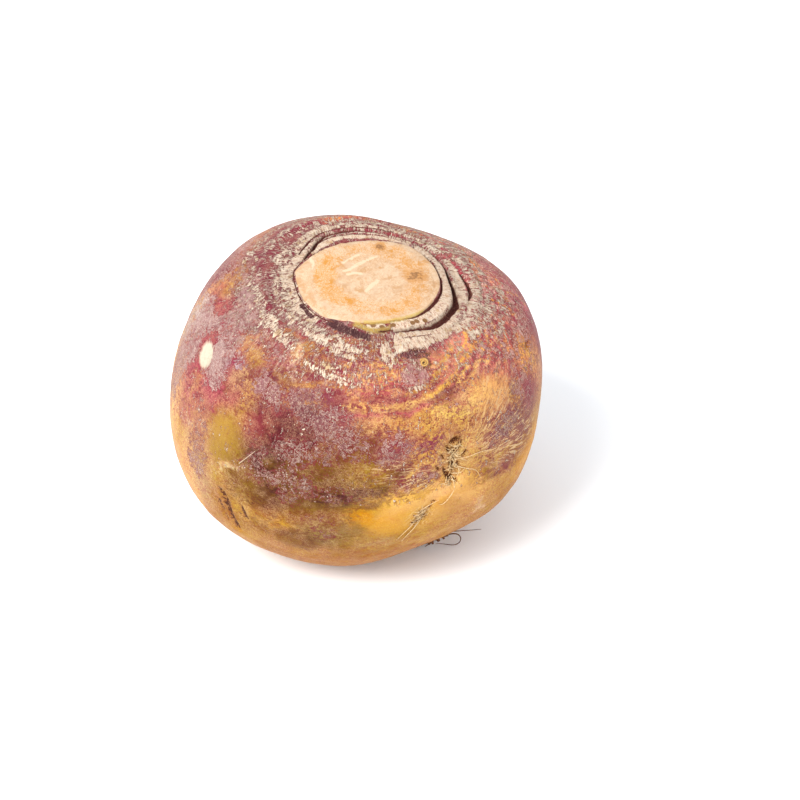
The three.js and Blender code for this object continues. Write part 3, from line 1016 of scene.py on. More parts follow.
def paintBloom(directions, patchiness):
    left = np.interp(tipOf(directions), *zip(*bloomByTip)) + 0.25 * patchiness
    for *oval, much in blooms:
        left = mixed(left, much, smoothStep(1.35, 0.5, ovalAt(directions, *oval)))
    return left


corkByRadius = [(21, -0.5), (23, 0.2), (26, 0.38), (34, 0.28), (44, 0.18), (50, 0.0), (58, -0.3)]
noCork = -0.3


def paintCork(places):
    radius, angle, crown = crownPolar(places)
    radius = radius + 0.8 * roughNoise(places, 6 * mm, 61) + 0.4 * roughNoise(places, 2 * mm, 62)
    cork = np.interp(radius, *zip(*corkByRadius))
    directions = wobbled(places, 1.6, 5, 64)
    for band in corkBands:
        apart, share = lineAt(directions, band["stops"])
        ends = fadedEnds(share, 0.06, 0.02)
        cork = np.maximum(cork, band["much"] * ends * smoothStep(1.2, 0.5, apart / band["wide"]))
    cork += 0.12 * roughNoise(places, 7 * mm, 63)
    for ring in corkRings:
        middle, ends = onPath(angle, ring["path"])
        apart = np.abs(radius - middle) / ring["wide"]
        cork = np.maximum(cork, ring["much"] * ends * smoothStep(1.2, 0.5, apart))
    return np.where(crown[:, 2] > 0, cork, noCork)


def keep(name, values, kind="FLOAT_COLOR"):  # values on the skin's vertices, for its material to read
    if kind == "FLOAT_COLOR":
        values = np.column_stack([values, np.ones(len(values))])
    attribute = skin.data.attributes.new(name, kind, "POINT")
    field = dict(FLOAT="value", FLOAT_VECTOR="vector", FLOAT_COLOR="color")[kind]
    attribute.data.foreach_set(field, np.asarray(values, dtype=float).ravel())


def inCutPlane(radius, angle):  # (x, y) in mm from the middle of the cut
    turns = np.radians(angle)
    return np.stack([radius * np.cos(turns), radius * np.sin(turns)], axis=-1)


fleshMarks = dict(
    fibreRing=15.5,  # radius of the orange ring, in mm
    fibreReach=6.5,
    streaks=[  # pale streaks, as (x, y) stops in mm from the middle of the cut
        [(-9, 4), (-5, 7), (-1.7, 10.2), (1.3, 12.9)],
        [(-9.5, 8), (-7, 10.4), (-4.3, 13.4)],
        [(-2, -5.8), (-0.4, -3), (1.6, 0)],
        [(-20.5, 11), (-19.6, 8), (-19.4, 4)],
        [(-8, 2), (-6.4, 3), (-4, 3)],
    ],
    spots=[(16, 14.3, 5.6, 0.95), (20, 12.2, 3.6, 0.7), (83, 18.1, 2.6, 1), (172, 21.5, 1.6, 0.35)],
    greenRims=[  # a path of (angle, radius) and its half width
        ([(-107, 22.8), (-99, 23.4), (-92, 24.8), (-84, 25), (-78, 24.2), (-75, 22)], 1.1),
        ([(-100, 21.8), (-85, 21.4), (-70, 21), (-55, 21), (-38, 21.4)], 0.7),
    ],
)


def paintFlesh(places):
    radius, angle, crown = crownPolar(places)
    flat = inCutPlane(radius, angle)
    blotch = roughNoise(places, 6 * mm, 141)
    off = np.abs(radius + 4 * blotch - fleshMarks["fibreRing"]) / fleshMarks["fibreReach"]
    fibres = smoothStep(1.1, 0.3, off) * (0.7 + 0.8 * roughNoise(places, 9 * mm, 151))
    wavy = flat + 0.7 * np.stack([roughNoise(places, 3 * mm, seed) for seed in (152, 153)], axis=1)
    for stops in fleshMarks["streaks"]:
        for first, second in itertools.pairwise(np.array(stops)):
            fibres = fibres - 1.2 * smoothStep(0.9, 0.2, fromSegment(wavy, first, second)[0])
    spots = np.zeros(len(places))
    for spotAngle, spotRadius, size, strong in fleshMarks["spots"]:
        apart = np.linalg.norm(flat - inCutPlane(spotRadius, spotAngle), axis=1)
        spots = np.maximum(spots, strong * smoothStep(1.2, 0.2, apart / size + 0.35 * blotch))
    rim = np.zeros(len(places))
    for path, wide in fleshMarks["greenRims"]:
        middle, ends = onPath(angle, path)
        inRim = smoothStep(1.5, 0.5, np.abs(radius - middle) / wide)
        rim = np.maximum(rim, ends * inRim * (crown[:, 2] > 0))
    return np.stack([np.clip(fibres, -1, 1), spots, rim], axis=1)


scabs = [  # dark dead skin at the rim: path of (angle, radius), half width
    dict(path=[(-126, 24.6), (-115, 25.4), (-104, 26.6), (-96, 27.8), (-90, 28.6)], wide=1.9),
    dict(path=[(206, 25.4), (216, 26.0), (226, 26.2)], wide=0.8),
]
scabOvals = [(294, 46.8, 7.5, 2.2, -4), (298.5, 48.6, 2.4, 1.4, 30)]  # the same: turn, tip, sizes, tilt
rimDots = dict(
    size=1.1,
    spots=[(270, 22.7), (277, 23.3), (286, 22.8), (302, 23.5), (306, 23.5), (312, 24.4)],  # angle, radius
)
# the last three follow the creases and are painted shade in them
darkLines = [  # half width in degrees, how strong, (turn, tip) stops
    (0.5, 0.55, [(288, 46.4), (291, 45.4), (296, 45.6), (300, 46.6)]),
    (0.5, 0.5, [(293, 48.2), (297, 47.6), (301, 48.4)]),
    (0.6, 1.0, [(223.4, 99), (224.6, 103), (225.8, 107.6), (226.6, 113)]),
    (0.4, 0.7, [(227.4, 103), (230.2, 105.4), (232.9, 107.8)]),
    (0.45, 0.8, [(221.9, 103.5), (223.6, 108.5)]),
]


def paintMarks(places):
    radius, angle, crown = crownPolar(places)
    above = crown[:, 2] > 0
    scab = np.zeros(len(places))
    for patch in scabs:
        middle, ends = onPath(angle, patch["path"])
        apart = np.abs(radius - middle + 0.6 * roughNoise(places, 2.5 * mm, 191)) / patch["wide"]
        scab = np.maximum(scab, above * ends * smoothStep(1.3, 0.5, apart))
    flat = inCutPlane(radius, angle)
    dotNoise = 0.2 * roughNoise(places, 1 * mm, 192)
    dots = np.zeros(len(places))
    for dotAngle, dotRadius in rimDots["spots"]:
        apart = np.linalg.norm(flat - inCutPlane(dotRadius, dotAngle), axis=1) / rimDots["size"]
        dots = np.maximum(dots, above * smoothStep(1.2, 0.3, apart + dotNoise))
    directions = wobbled(places, 0.5, 2, 193)
    # painted shade in the creases, with the dark lines and the ring round the coiled bud added
    folds = bodyMarks["folds"].copy()
    for wide, strong, stops in darkLines:
        folds = np.maximum(folds, strong * smoothStep(1.3 * wide, 0.3 * wide, lineAt(directions, stops)[0]))
    folds = np.maximum(folds, 0.6 * np.exp(-(((bodyMarks["bud"] - 0.95) / 0.25) ** 2)))
    for oval in scabOvals:
        scab = np.maximum(scab, 0.58 * smoothStep(1.4, 0.4, ovalAt(directions, *oval)))
    return np.stack([scab, dots, folds], axis=1)


print("stage: painting the tones")
radius, angle, crown = crownPolar(places)
uneven = roughNoise(places, 14 * mm, 71)
# painted light and shade, with tone corrections, multiplied into both coats of tone and the bloom's tint
shade = shadeGain(wobbled(places, 2, 14, 77))
keep("tone", shade * paintTones(wobbled(places, 3, 9, 81), uneven, []))
keep("underTone", shade * paintTones(wobbled(places, 7, 8, 91), -uneven, secondCoats))
bloom = paintBloom(wobbled(places, 3.5, 6, 101), roughNoise(places, 18 * mm, 111))
keep("bloomTint", shade * paintTints(wobbled(places, 4, 10, 131)))
keep("cutMarks", paintFlesh(places))
keep("masks", np.stack([bloom, paintCork(places), crownMarks["flesh"]], axis=1))
keep("darks", np.stack([crownMarks["gap"], bodyMarks["pits"], bodyMarks["chip"]], axis=1))
reach, bodyTurns = alongRoot(places)
keep("ringPlace", onPipe(bodyTurns, 10, reach), "FLOAT_VECTOR")
keep("radialPlace", onPipe(np.radians(angle), 32, reach * 0.2), "FLOAT_VECTOR")
fan = wobbled(places, 1.0, 9, 121) - directionOf(fanOut["turn"], fanOut["tip"])
fanUp = fan @ directionOf(fanOut["turn"], fanOut["tip"] - 90)
fanTurn = np.arctan2(fanUp, fan @ directionOf(fanOut["turn"] + 90, 90))
fanFar = np.degrees(np.linalg.norm(fan, axis=1))
keep("fanPlace", onPipe(fanTurn, fanOut["spread"], fanFar * fanOut["stretch"]), "FLOAT_VECTOR")
fanShare = np.zeros(len(places))
fanDirections = wobbled(places, 3, 9, 181)
for *oval, strong in fanOut["reaches"]:
    fanShare = np.maximum(fanShare, strong * smoothStep(1.2, 0.5, ovalAt(fanDirections, *oval)))
aroundCut = smoothStep(52, 40, radius) * smoothStep(24, 27, radius) * (crown[:, 2] > 0)
calm = np.zeros(len(places))
calmDirections = wobbled(places, 3, 9, 201)
for oval in calmOvals:
    calm = np.maximum(calm, smoothStep(1.3, 0.7, ovalAt(calmDirections, *oval)))
keep("streaks", np.stack([fanShare, aroundCut, calm], axis=1))
keep("marks", paintMarks(places))
keep("torn", bodyMarks["torn"], "FLOAT")

# the skin's material

tree = None  # the material that the next nodes go into


def join(value, socket):  # a value is another node's output, or a plain number or colour
    if isinstance(value, bpy.types.NodeSocket):
        tree.links.new(value, socket)
    elif socket.type == "RGBA":
        socket.default_value = (*tuple(value)[:3], 1)
    else:
        socket.default_value = value


def newNode(kind, inputs, **settings):
    node = tree.nodes.new("ShaderNode" + kind)
    for name, value in settings.items():
        setattr(node, name, value)
    for name, value in inputs.items():
        join(value, node.inputs[name])
    return node


def sums(operation, first, second=0.0):
    return newNode("Math", {0: first, 1: second}, operation=operation).outputs[0]


def plus(first, *others):
    for other in others:
        first = sums("ADD", first, other)
    return first


def times(first, *others):
    for other in others:
        first = sums("MULTIPLY", first, other)
    return first


def most(first, second):
    return sums("MAXIMUM", first, second)


def away(value):  # 1 less the value
    return sums("SUBTRACT", 1.0, value)


def swing(noise, much):  # a noise made to run to either side of 0
    return times(plus(noise, -0.5), much)


def between(first, second, share):  # of two noises
    return plus(times(first, 1 - share), times(second, share))


def ramp(value, low, high, fromValue=0.0, toValue=1.0):  # a smooth step from one value to the other
    inputs = {"Value": value, "From Min": low, "From Max": high, "To Min": fromValue, "To Max": toValue}
    return newNode("MapRange", inputs, interpolation_type="SMOOTHSTEP").outputs["Result"]


def hump(value, middle, half):  # 1 at the middle value, 0 beyond half on either side
    return ramp(sums("ABSOLUTE", plus(value, -middle)), half, 0.2 * half)


def lineIn(noise, half, middle=0.5):  # thin wandering lines where a noise passes its middle value
    return hump(noise, middle, half)


def blend(share, first, second, how="MIX"):
    node = newNode("Mix", {"Factor": share}, data_type="RGBA", blend_type=how)
    colours = [socket for socket in node.inputs if socket.type == "RGBA"]
    join(first, colours[0])
    join(second, colours[1])
    return next(socket for socket in node.outputs if socket.type == "RGBA")


def scaled(share, colour, gain):
    return blend(share, colour, gain, "MULTIPLY")


def coat(colour, share, name):  # one of the skin's own colours laid over another colour
    return blend(share, colour, skinColours[name])


def attributeOf(name, output="Color"):
    return newNode("Attribute", {}, attribute_name=name).outputs[output]


def partsOf(colour):
    return tuple(newNode("SeparateColor", {"Color": colour}).outputs)


def speckle(place, size, detail, rough, twist, seed):  # noise with lumps of that many mm
    inputs = {"Vector": place, "W": seed, "Scale": 1 / size}
    inputs.update({"Detail": detail, "Roughness": rough, "Distortion": twist})
    return newNode("TexNoise", inputs, noise_dimensions="4D").outputs["Fac"]


def placeInMm():
    place = tree.nodes.new("ShaderNodeTexCoord").outputs["Object"]
    return newNode("VectorMath", {0: place, "Scale": 1 / mm}, operation="SCALE").outputs[0]


def bumped(shader, height, strength, unit):  # the shader's relief: height, in units of so many metres
    bump = newNode("Bump", {"Strength": strength, "Distance": unit, "Height": height})
    join(bump.outputs["Normal"], shader.inputs["Normal"])


def newMaterial(name):
    global tree
    material = bpy.data.materials.new(name)
    material.use_nodes = True
    tree = material.node_tree
    return material, tree.nodes["Principled BSDF"]


skinColours = allFromSrgb(
    # the first colour is the bloom's pale grain and its painted edge highlight; the third is the painted
    # shadow beside the bloom's edges and worm lines
    bloomFringe=(236, 214, 204),
    bloomPit=(146, 78, 90),
    underBloom=(126, 46, 58),
    speck=(244, 226, 206),
    filament=(238, 196, 158),
    streakDark=(146, 88, 86),
    streakPale=(240, 208, 164),
    crownPale=(240, 214, 196),
    crownDark=(144, 68, 80),
    corkLight=(255, 244, 230),
    cork=(240, 208, 188),
    corkYellow=(206, 166, 96),
    # painted shade in the cork's cracks
    corkCrack=(146, 84, 82),
    flesh=(212, 173, 136),
    fleshPale=(226, 200, 176),
    fleshFibre=(222, 156, 64),
    fleshVein=(248, 224, 200),
    fleshSpot=(214, 158, 98),
    fleshRot=(140, 102, 78),
    greenRim=(212, 186, 104),
    gap=(110, 60, 62),
    gapCrumb=(176, 124, 104),
    scab=(92, 58, 64),
    scabLight=(176, 138, 134),
    rimDot=(140, 96, 52),
    # painted shade in the creases and a browner edge round it; also the colour of the dark lines
    fold=(78, 44, 34),
    foldEdge=(160, 108, 72),
    scar=(88, 48, 32),
    scarEdge=(176, 112, 52),
    scarPale=(255, 220, 156),
    chip=(224, 214, 200),
)
skinGains = dict(  # gains on the tone below
    redFleck=(0.82, 0.52, 0.76),
    paleFleck=(1.16, 1.36, 1.18),
    vein=(0.76, 0.44, 0.68),
    pepper=((0.87, 0.81, 0.82), (1.11, 1.18, 1.18)),
    bloomPepper=((0.9, 0.86, 0.86), (1.1, 1.14, 1.14)),
)
skinFinish = dict(
    gloss=0.05,
    roughBare=0.42,
    roughBloom=0.8,
    roughCork=0.75,
    roughFlesh=0.38,
    roughGap=0.85,
)


lumps = dict(  # the material's noises: size in mm, detail, roughness, twist and seed
    dabs=(3.0, 4, 0.6, 1.8, 0),
    grit=(0.45, 3, 0.7, 0.6, 3),
    ringStreaks=(0.8, 4, 0.65, 1.2, 5),
    redFlecks=(2.2, 4, 0.65, 2.4, 8),
    paleFlecks=(1.8, 4, 0.65, 2.4, 9),
    threads=(1.5, 3, 0.6, 3.0, 13),
    threadPatches=(5, 2, 0.5, 0, 14),
    veins=(1.9, 3, 0.6, 3.0, 43),
    veinPatches=(6, 2, 0.5, 0, 44),
    pepper=(0.75, 1, 0.5, 2.0, 41),
    specks=(0.6, 2, 0.5, 0, 12),
    fanLines=(0.55, 3, 0.6, 1.0, 27),
    flakes=(3.3, 4, 0.66, 1.4, 15),
    splits=(3.4, 4, 0.65, 2.2, 42),
    splitPatches=(9, 2, 0.5, 0, 45),
    lace=(1.4, 2, 0.55, 1.6, 16),
    cloud=(5, 4, 0.6, 0.5, 18),
    filmGrain=(0.9, 3, 0.65, 0.8, 19),
    worms=(2.0, 3, 0.6, 2.2, 20),
    ribs=(0.34, 3, 0.65, 0.8, 22),
    crumbs=(0.5, 4, 0.75, 1.2, 23),
    drawn=(6, 3, 0.6, 0.5, 21),
    corkEdge=(2.6, 4, 0.65, 1.2, 25),
    yellowed=(3, 5, 0.65, 0.8, 24),
    fibres=(0.7, 3, 0.7, 2.4, 31),
    rays=(0.8, 3, 0.7, 1.6, 30),
    fleshPale=(5, 4, 0.65, 1.2, 32),
    curls=(1.6, 4, 0.65, 3.4, 35),
    fleshVeins=(1.2, 3, 0.6, 2.0, 36),
    fleshVeinPatches=(4, 3, 0.6, 1, 33),
    spotEdge=(0.8, 3, 0.7, 0, 34),
    foldShape=(1.1, 3, 0.7, 1.6, 55),
    tornFibres=(0.9, 3, 0.6, 1.6, 52),
    tornPatches=(1.1, 3, 0.65, 2.0, 53),
    scarShape=(0.9, 3, 0.65, 1.5, 54),
)


def skinMaterial():
    material, shader = newMaterial("rutabagaSkin")
    place = placeInMm()
    bloomLeft, cork, flesh = partsOf(attributeOf("masks"))
    gap, scar, chipped = partsOf(attributeOf("darks"))
    fanShare, aroundCut, calm = partsOf(attributeOf("streaks"))
    scab, rimDot, fold = partsOf(attributeOf("marks"))
    orange, spot, greenRim = partsOf(attributeOf("cutMarks"))
    torn = attributeOf("torn", "Fac")
    radialPlace = attributeOf("radialPlace", "Vector")
    fanPlace = attributeOf("fanPlace", "Vector")
    busy = away(times(calm, 0.7))

    def lump(name, where=place):
        return speckle(where, *lumps[name])

    # bare skin: two coats of tone, mottled, streaked round the crown and away from the root scars
    grit = lump("grit")
    ringStreaks = lump("ringStreaks", attributeOf("ringPlace", "Vector"))
    mottle = between(lump("dabs"), ringStreaks, 0.4)
    bare = blend(ramp(mottle, 0.465, 0.535), attributeOf("tone"), attributeOf("underTone"))
    redFlecks = between(lump("redFlecks"), ringStreaks, 0.4)
    bare = scaled(times(busy, ramp(redFlecks, 0.5, 0.57, 0, 0.85)), bare, skinGains["redFleck"])
    paleFlecks = between(lump("paleFlecks"), ringStreaks, 0.4)
    bare = scaled(times(busy, ramp(paleFlecks, 0.5, 0.57, 0, 0.85)), bare, skinGains["paleFleck"])
    threads = most(lineIn(lump("threads"), 0.035), lineIn(redFlecks, 0.02, 0.47))
    threads = times(threads, ramp(lump("threadPatches"), 0.4, 0.56))
    bare = coat(bare, times(busy, threads, 0.34), "filament")
    veins = times(lineIn(lump("veins"), 0.035), ramp(lump("veinPatches"), 0.42, 0.56))
    bare = scaled(times(busy, veins, 0.9), bare, skinGains["vein"])
    pepper = ramp(lump("pepper"), 0.42, 0.58)
    bare = scaled(busy, bare, blend(pepper, *skinGains["pepper"]))
    bare = coat(bare, times(ramp(lump("specks"), 0.77, 0.81), 0.3), "speck")
    fanLines = lump("fanLines", fanPlace)
    bare = coat(bare, times(fanShare, ramp(fanLines, 0.47, 0.42), 0.8), "streakDark")
    bare = coat(bare, times(fanShare, ramp(fanLines, 0.53, 0.58), 0.9), "streakPale")

    # bloom: a flaky film with a wormy grain; its edges and worm lines get a painted highlight on them and a
    # painted shadow beside them
    flakes = swing(between(lump("flakes"), ringStreaks, 0.25), 4.0)
    splits = times(lineIn(lump("splits"), 0.04), ramp(lump("splitPatches"), 0.42, 0.56))
    unrest = plus(flakes, swing(lump("lace"), 2.0), times(splits, -1.1))
    film = plus(bloomLeft, times(unrest, ramp(bloomLeft, 0, 0.28, 0.12, 1)))
    filmOn = ramp(film, 0.5, 0.525)
    # painted shadow on the skin just outside each flake's edge
    bare = coat(bare, times(hump(film, 0.37, 0.17), 0.85), "underBloom")
    bloomTint = attributeOf("bloomTint")
    fringe = coat(bloomTint, 0.5, "bloomFringe")
    pitted = coat(bloomTint, 0.6, "bloomPit")
    filmColour = blend(ramp(lump("cloud"), 0.35, 0.65, 0, 0.35), bloomTint, pitted)
    filmGrain = lump("filmGrain")
    filmColour = blend(ramp(filmGrain, 0.54, 0.62, 0, 0.55), filmColour, fringe)
    filmColour = blend(ramp(filmGrain, 0.44, 0.38, 0, 0.8), filmColour, pitted)
    worms = lump("worms")
    # the worm lines: painted shade with a painted highlight beside each
    filmColour = coat(filmColour, times(lineIn(worms, 0.022), 0.9), "underBloom")
    filmColour = blend(times(hump(worms, 0.535, 0.018), 0.8), filmColour, fringe)
    # painted highlight along each flake's edge
    outline = times(hump(film, 0.6, 0.11), ramp(bloomLeft, 0.2, 0.5, 0.2, 1))
    filmColour = blend(outline, filmColour, coat(bloomTint, 0.58, "bloomFringe"))
    filmColour = scaled(1.0, filmColour, blend(pepper, *skinGains["bloomPepper"]))
    colour = blend(times(filmOn, 0.94), bare, filmColour)

    # round the cut the skin is drawn into fine ribs
    ribs = lump("ribs", radialPlace)
    crumbs = lump("crumbs")
    ribLines = between(ribs, crumbs, 0.3)
    drawn = times(aroundCut, ramp(lump("drawn"), 0.38, 0.56, 0.35, 1.0))
    colour = coat(colour, times(drawn, ramp(ribLines, 0.46, 0.4), 0.7), "crownDark")
    colour = coat(colour, times(drawn, ramp(ribLines, 0.51, 0.57), 0.75), "crownPale")

    # cork: dead ribs that run out from the cut
    corkEdge = plus(cork, swing(ribs, 2.2), swing(crumbs, 1.6), swing(lump("corkEdge"), 2.2))
    corkOn = ramp(corkEdge, 0.5, 0.56)
    # painted shade in the cracks round the edges of the cork
    colour = coat(colour, times(hump(corkEdge, 0.43, 0.12), 0.8), "corkCrack")
    grain = between(ribs, crumbs, 0.4)
    corkColour = coat(skinColours["cork"], ramp(grain, 0.45, 0.57), "corkLight")
    yellowed = between(lump("yellowed"), ribs, 0.25)
    corkColour = coat(corkColour, ramp(yellowed, 0.54, 0.62, 0, 0.6), "corkYellow")
    # painted shade in the cracks between the cork's ribs
    corkColour = coat(corkColour, ramp(grain, 0.465, 0.42, 0, 0.85), "corkCrack")
    colour = blend(corkOn, colour, corkColour)

    # dead skin and dark dots at the rim
    scabColour = coat(skinColours["scab"], ramp(grain, 0.5, 0.6), "scabLight")
    colour = blend(ramp(plus(scab, swing(crumbs, 2.8)), 0.42, 0.55), colour, scabColour)
    colour = coat(colour, ramp(rimDot, 0.2, 0.6, 0, 0.9), "rimDot")

    # the cut flesh, with its fibrous orange ring
    fibres = lump("fibres")
    curls = lump("curls")
    fleshColour = coat(skinColours["flesh"], ramp(lump("fleshPale"), 0.38, 0.6), "fleshPale")
    fibreShare = plus(orange, swing(fibres, 3.6), swing(lump("rays", radialPlace), 1.6), swing(curls, 2.0))
    fleshColour = coat(fleshColour, ramp(fibreShare, 0.52, 0.7, 0, 0.85), "fleshFibre")
    paleStreaks = ramp(plus(orange, swing(fibres, 1.5)), -0.3, -0.6, 0, 0.9)
    fleshColour = coat(fleshColour, paleStreaks, "fleshVein")
    fleshVeins = most(lineIn(curls, 0.022), lineIn(lump("fleshVeins"), 0.03))
    fleshVeins = times(fleshVeins, ramp(lump("fleshVeinPatches"), 0.4, 0.5))
    fleshColour = coat(fleshColour, times(fleshVeins, 0.95), "fleshVein")
    spotEdge = plus(spot, swing(lump("spotEdge"), 2.0))
    fleshColour = coat(fleshColour, ramp(spotEdge, 0.1, 0.7, 0, 0.75), "fleshSpot")
    fleshColour = coat(fleshColour, ramp(spotEdge, 0.72, 1.0, 0, 0.75), "fleshRot")
    colour = blend(ramp(plus(flesh, swing(crumbs, 0.5)), 0.4, 0.6), colour, fleshColour)
    colour = coat(colour, times(greenRim, ramp(crumbs, 0.35, 0.6, 1, 0.5)), "greenRim")

    # painted shade in the folds, then root scars, the chip and the gap round the cut
    foldShape = plus(fold, swing(lump("foldShape"), 3.6), -0.12)
    # painted shade along the creases, browner at its edge
    colour = coat(colour, times(ramp(fold, 0.05, 0.3), ramp(foldShape, 0.3, 0.5), 0.7), "foldEdge")
    colour = coat(colour, times(ramp(fold, 0.1, 0.4), ramp(foldShape, 0.55, 0.75), 0.9), "fold")
    tornFibres = lineIn(lump("tornFibres", fanPlace), 0.06)
    colour = coat(colour, times(torn, tornFibres, 0.85), "scarPale")
    colour = coat(colour, times(torn, ramp(lump("tornPatches"), 0.5, 0.6), 0.5), "scarEdge")
    scarShape = plus(scar, swing(lump("scarShape"), 1.8), times(tornFibres, -0.4))
    colour = coat(colour, times(ramp(scar, 0.02, 0.2), ramp(scarShape, 0.15, 0.45)), "scarEdge")
    colour = coat(colour, ramp(scarShape, 0.42, 0.65), "scar")
    colour = coat(colour, chipped, "chip")
    gapColour = coat(skinColours["gap"], ramp(crumbs, 0.5, 0.58, 0, 0.7), "gapCrumb")
    colour = blend(ramp(plus(gap, swing(crumbs, 1.2)), 0.35, 0.6), colour, gapColour)
    join(colour, shader.inputs["Base Color"])
    shader.inputs["Specular IOR Level"].default_value = skinFinish["gloss"]

    roughness = (skinFinish["roughBare"],) * 3
    parts = ((filmOn, "roughBloom"), (corkOn, "roughCork"), (flesh, "roughFlesh"), (gap, "roughGap"))
    for share, name in parts:
        roughness = blend(share, roughness, (skinFinish[name],) * 3)
    join(plus(partsOf(roughness)[0], swing(grit, 0.25)), shader.inputs["Roughness"])

    height = plus(times(filmOn, 0.06), times(grit, 0.1), times(ringStreaks, 0.12))
    height = plus(height, times(corkOn, plus(times(grain, 0.5), 0.1)), times(aroundCut, ribs, 0.4))
    height = plus(times(height, away(flesh)), times(flesh, fibres, 0.06))
    bumped(shader, height, 1.0, mm)
    return material


skin.data.materials.append(skinMaterial())
selectOnly(skin)
bpy.ops.object.shade_smooth()

# the broken tap root, its rootlets and the hairs of the root scars

def onSkin(turn, tip, lift=0.0):  # the skin's place in that direction, lifted off it by some mm
    direction = directionOf(turn, tip)
    closeness = skinDirections @ direction
    near = np.argpartition(-closeness, 4)[:4]
    weights = 1 / (1.00001 - closeness[near])
    weights /= weights.sum()
    far = weights @ np.linalg.norm(places[near] - stance["belt"], axis=1)
    return stance["belt"] + direction * (far + lift * mm)


tuftForm = dict(
    scatter=0.3,  # how far the roots of the fibres stray, as a share of the tuft's spread
    fan=38,  # how unevenly they point, in degrees
    droop=12,
    curl=0.9,
    lifts=[(0, 0.1), (0.35, 0.7), (0.7, 0.8)],  # share of the length, mm off the skin
)


def tuft(name, stops, count, length, width, spread, seed):  # short torn fibres that stick out on both sides
    random.seed(seed)
    fibres = []
    turns, tips = zip(*stops)
    for _ in range(count):
        share = random.random() * (len(stops) - 1)
        turn = float(np.interp(share, range(len(stops)), turns))
        turn += random.uniform(-1, 1) * tuftForm["scatter"] * spread
        tip = float(np.interp(share, range(len(stops)), tips))
        aim = math.radians(random.choice((0, 180)) + random.gauss(0, tuftForm["fan"]) - tuftForm["droop"])
        reach = random.uniform(*length)
        curl = random.uniform(-1, 1) * tuftForm["curl"]
        route = []
        for step, lift in tuftForm["lifts"] + [(1, random.uniform(0.1, 0.7))]:
            sideways = reach * step * math.cos(aim + curl * step)
            upwards = reach * step * math.sin(aim + curl * step)
            route.append(onSkin(turn + sideways, tip - upwards, lift))
        fibres.append(strand(route, width * mm))
    return fibres


def strand(points, width, thin=0.35):  # a tapering tube along the points; all in metres
    curve = bpy.data.curves.new("strand", "CURVE")
    curve.dimensions = "3D"
    curve.bevel_depth = width / 2
    curve.bevel_resolution = 1
    curve.resolution_u = 4
    curve.use_fill_caps = True
    spline = curve.splines.new("NURBS")
    spline.points.add(len(points) - 1)
    spline.use_endpoint_u = True
    spline.order_u = 3
    for index, (point, place) in enumerate(zip(spline.points, points)):
        point.co = (*place, 1)
        point.radius = 1 - (1 - thin) * index / (len(points) - 1)
    selectOnly(linked("strand", curve))
    bpy.ops.object.convert(target="MESH")
    return bpy.context.object


def joined(name, pieces):
    selectOnly(pieces[0])
    for piece in pieces[1:]:
        piece.select_set(True)
    bpy.ops.object.join()
    whole = bpy.context.object
    whole.name = whole.data.name = name
    bpy.ops.object.shade_smooth()
    return whole


def tapRootStub():
    start, end = tapRoot["start"], tapRoot["end"]
    middle, along = (start + end) / 2, Vector(end - start)
    bpy.ops.object.select_all(action="DESELECT")
    bpy.ops.mesh.primitive_cone_add(
        vertices=20, radius1=tapRoot["baseRadius"], radius2=tapRoot["tipRadius"],
        depth=along.length, location=middle, rotation=along.to_track_quat("Z", "Y").to_euler(),
    )
    stub = bpy.context.object
    stub.name = stub.data.name = "tapRootStub"
    bpy.ops.object.transform_apply(location=True, rotation=True, scale=True)
    bpy.ops.object.mode_set(mode="EDIT")
    bpy.ops.mesh.select_all(action="SELECT")
    bpy.ops.mesh.subdivide(number_cuts=5)
    bpy.ops.object.mode_set(mode="OBJECT")
    applyModifier(stub, "SUBSURF", levels=1, render_levels=1)
    grown = vertexPlaces(stub)
    axis = np.array(along.normalized())
    down = (grown - start) @ axis
    spoke = grown - start - down[:, None] * axis
    spoke /= np.maximum(np.linalg.norm(spoke, axis=1, keepdims=True), 1e-9)
    squeezed = grown - 0.75 * down[:, None] * axis
    fibre = roughNoise(squeezed, 0.9 * mm, 161) * tapRoot["ragged"]
    torn = roughNoise(squeezed, 1.3 * mm, 171) * tapRoot["torn"] * smoothStep(0.55, 1, down / along.length)
    setVertexPlaces(stub, grown + spoke * fibre[:, None] + axis * torn[:, None])
    selectOnly(stub)
    bpy.ops.object.shade_smooth()
    return stub


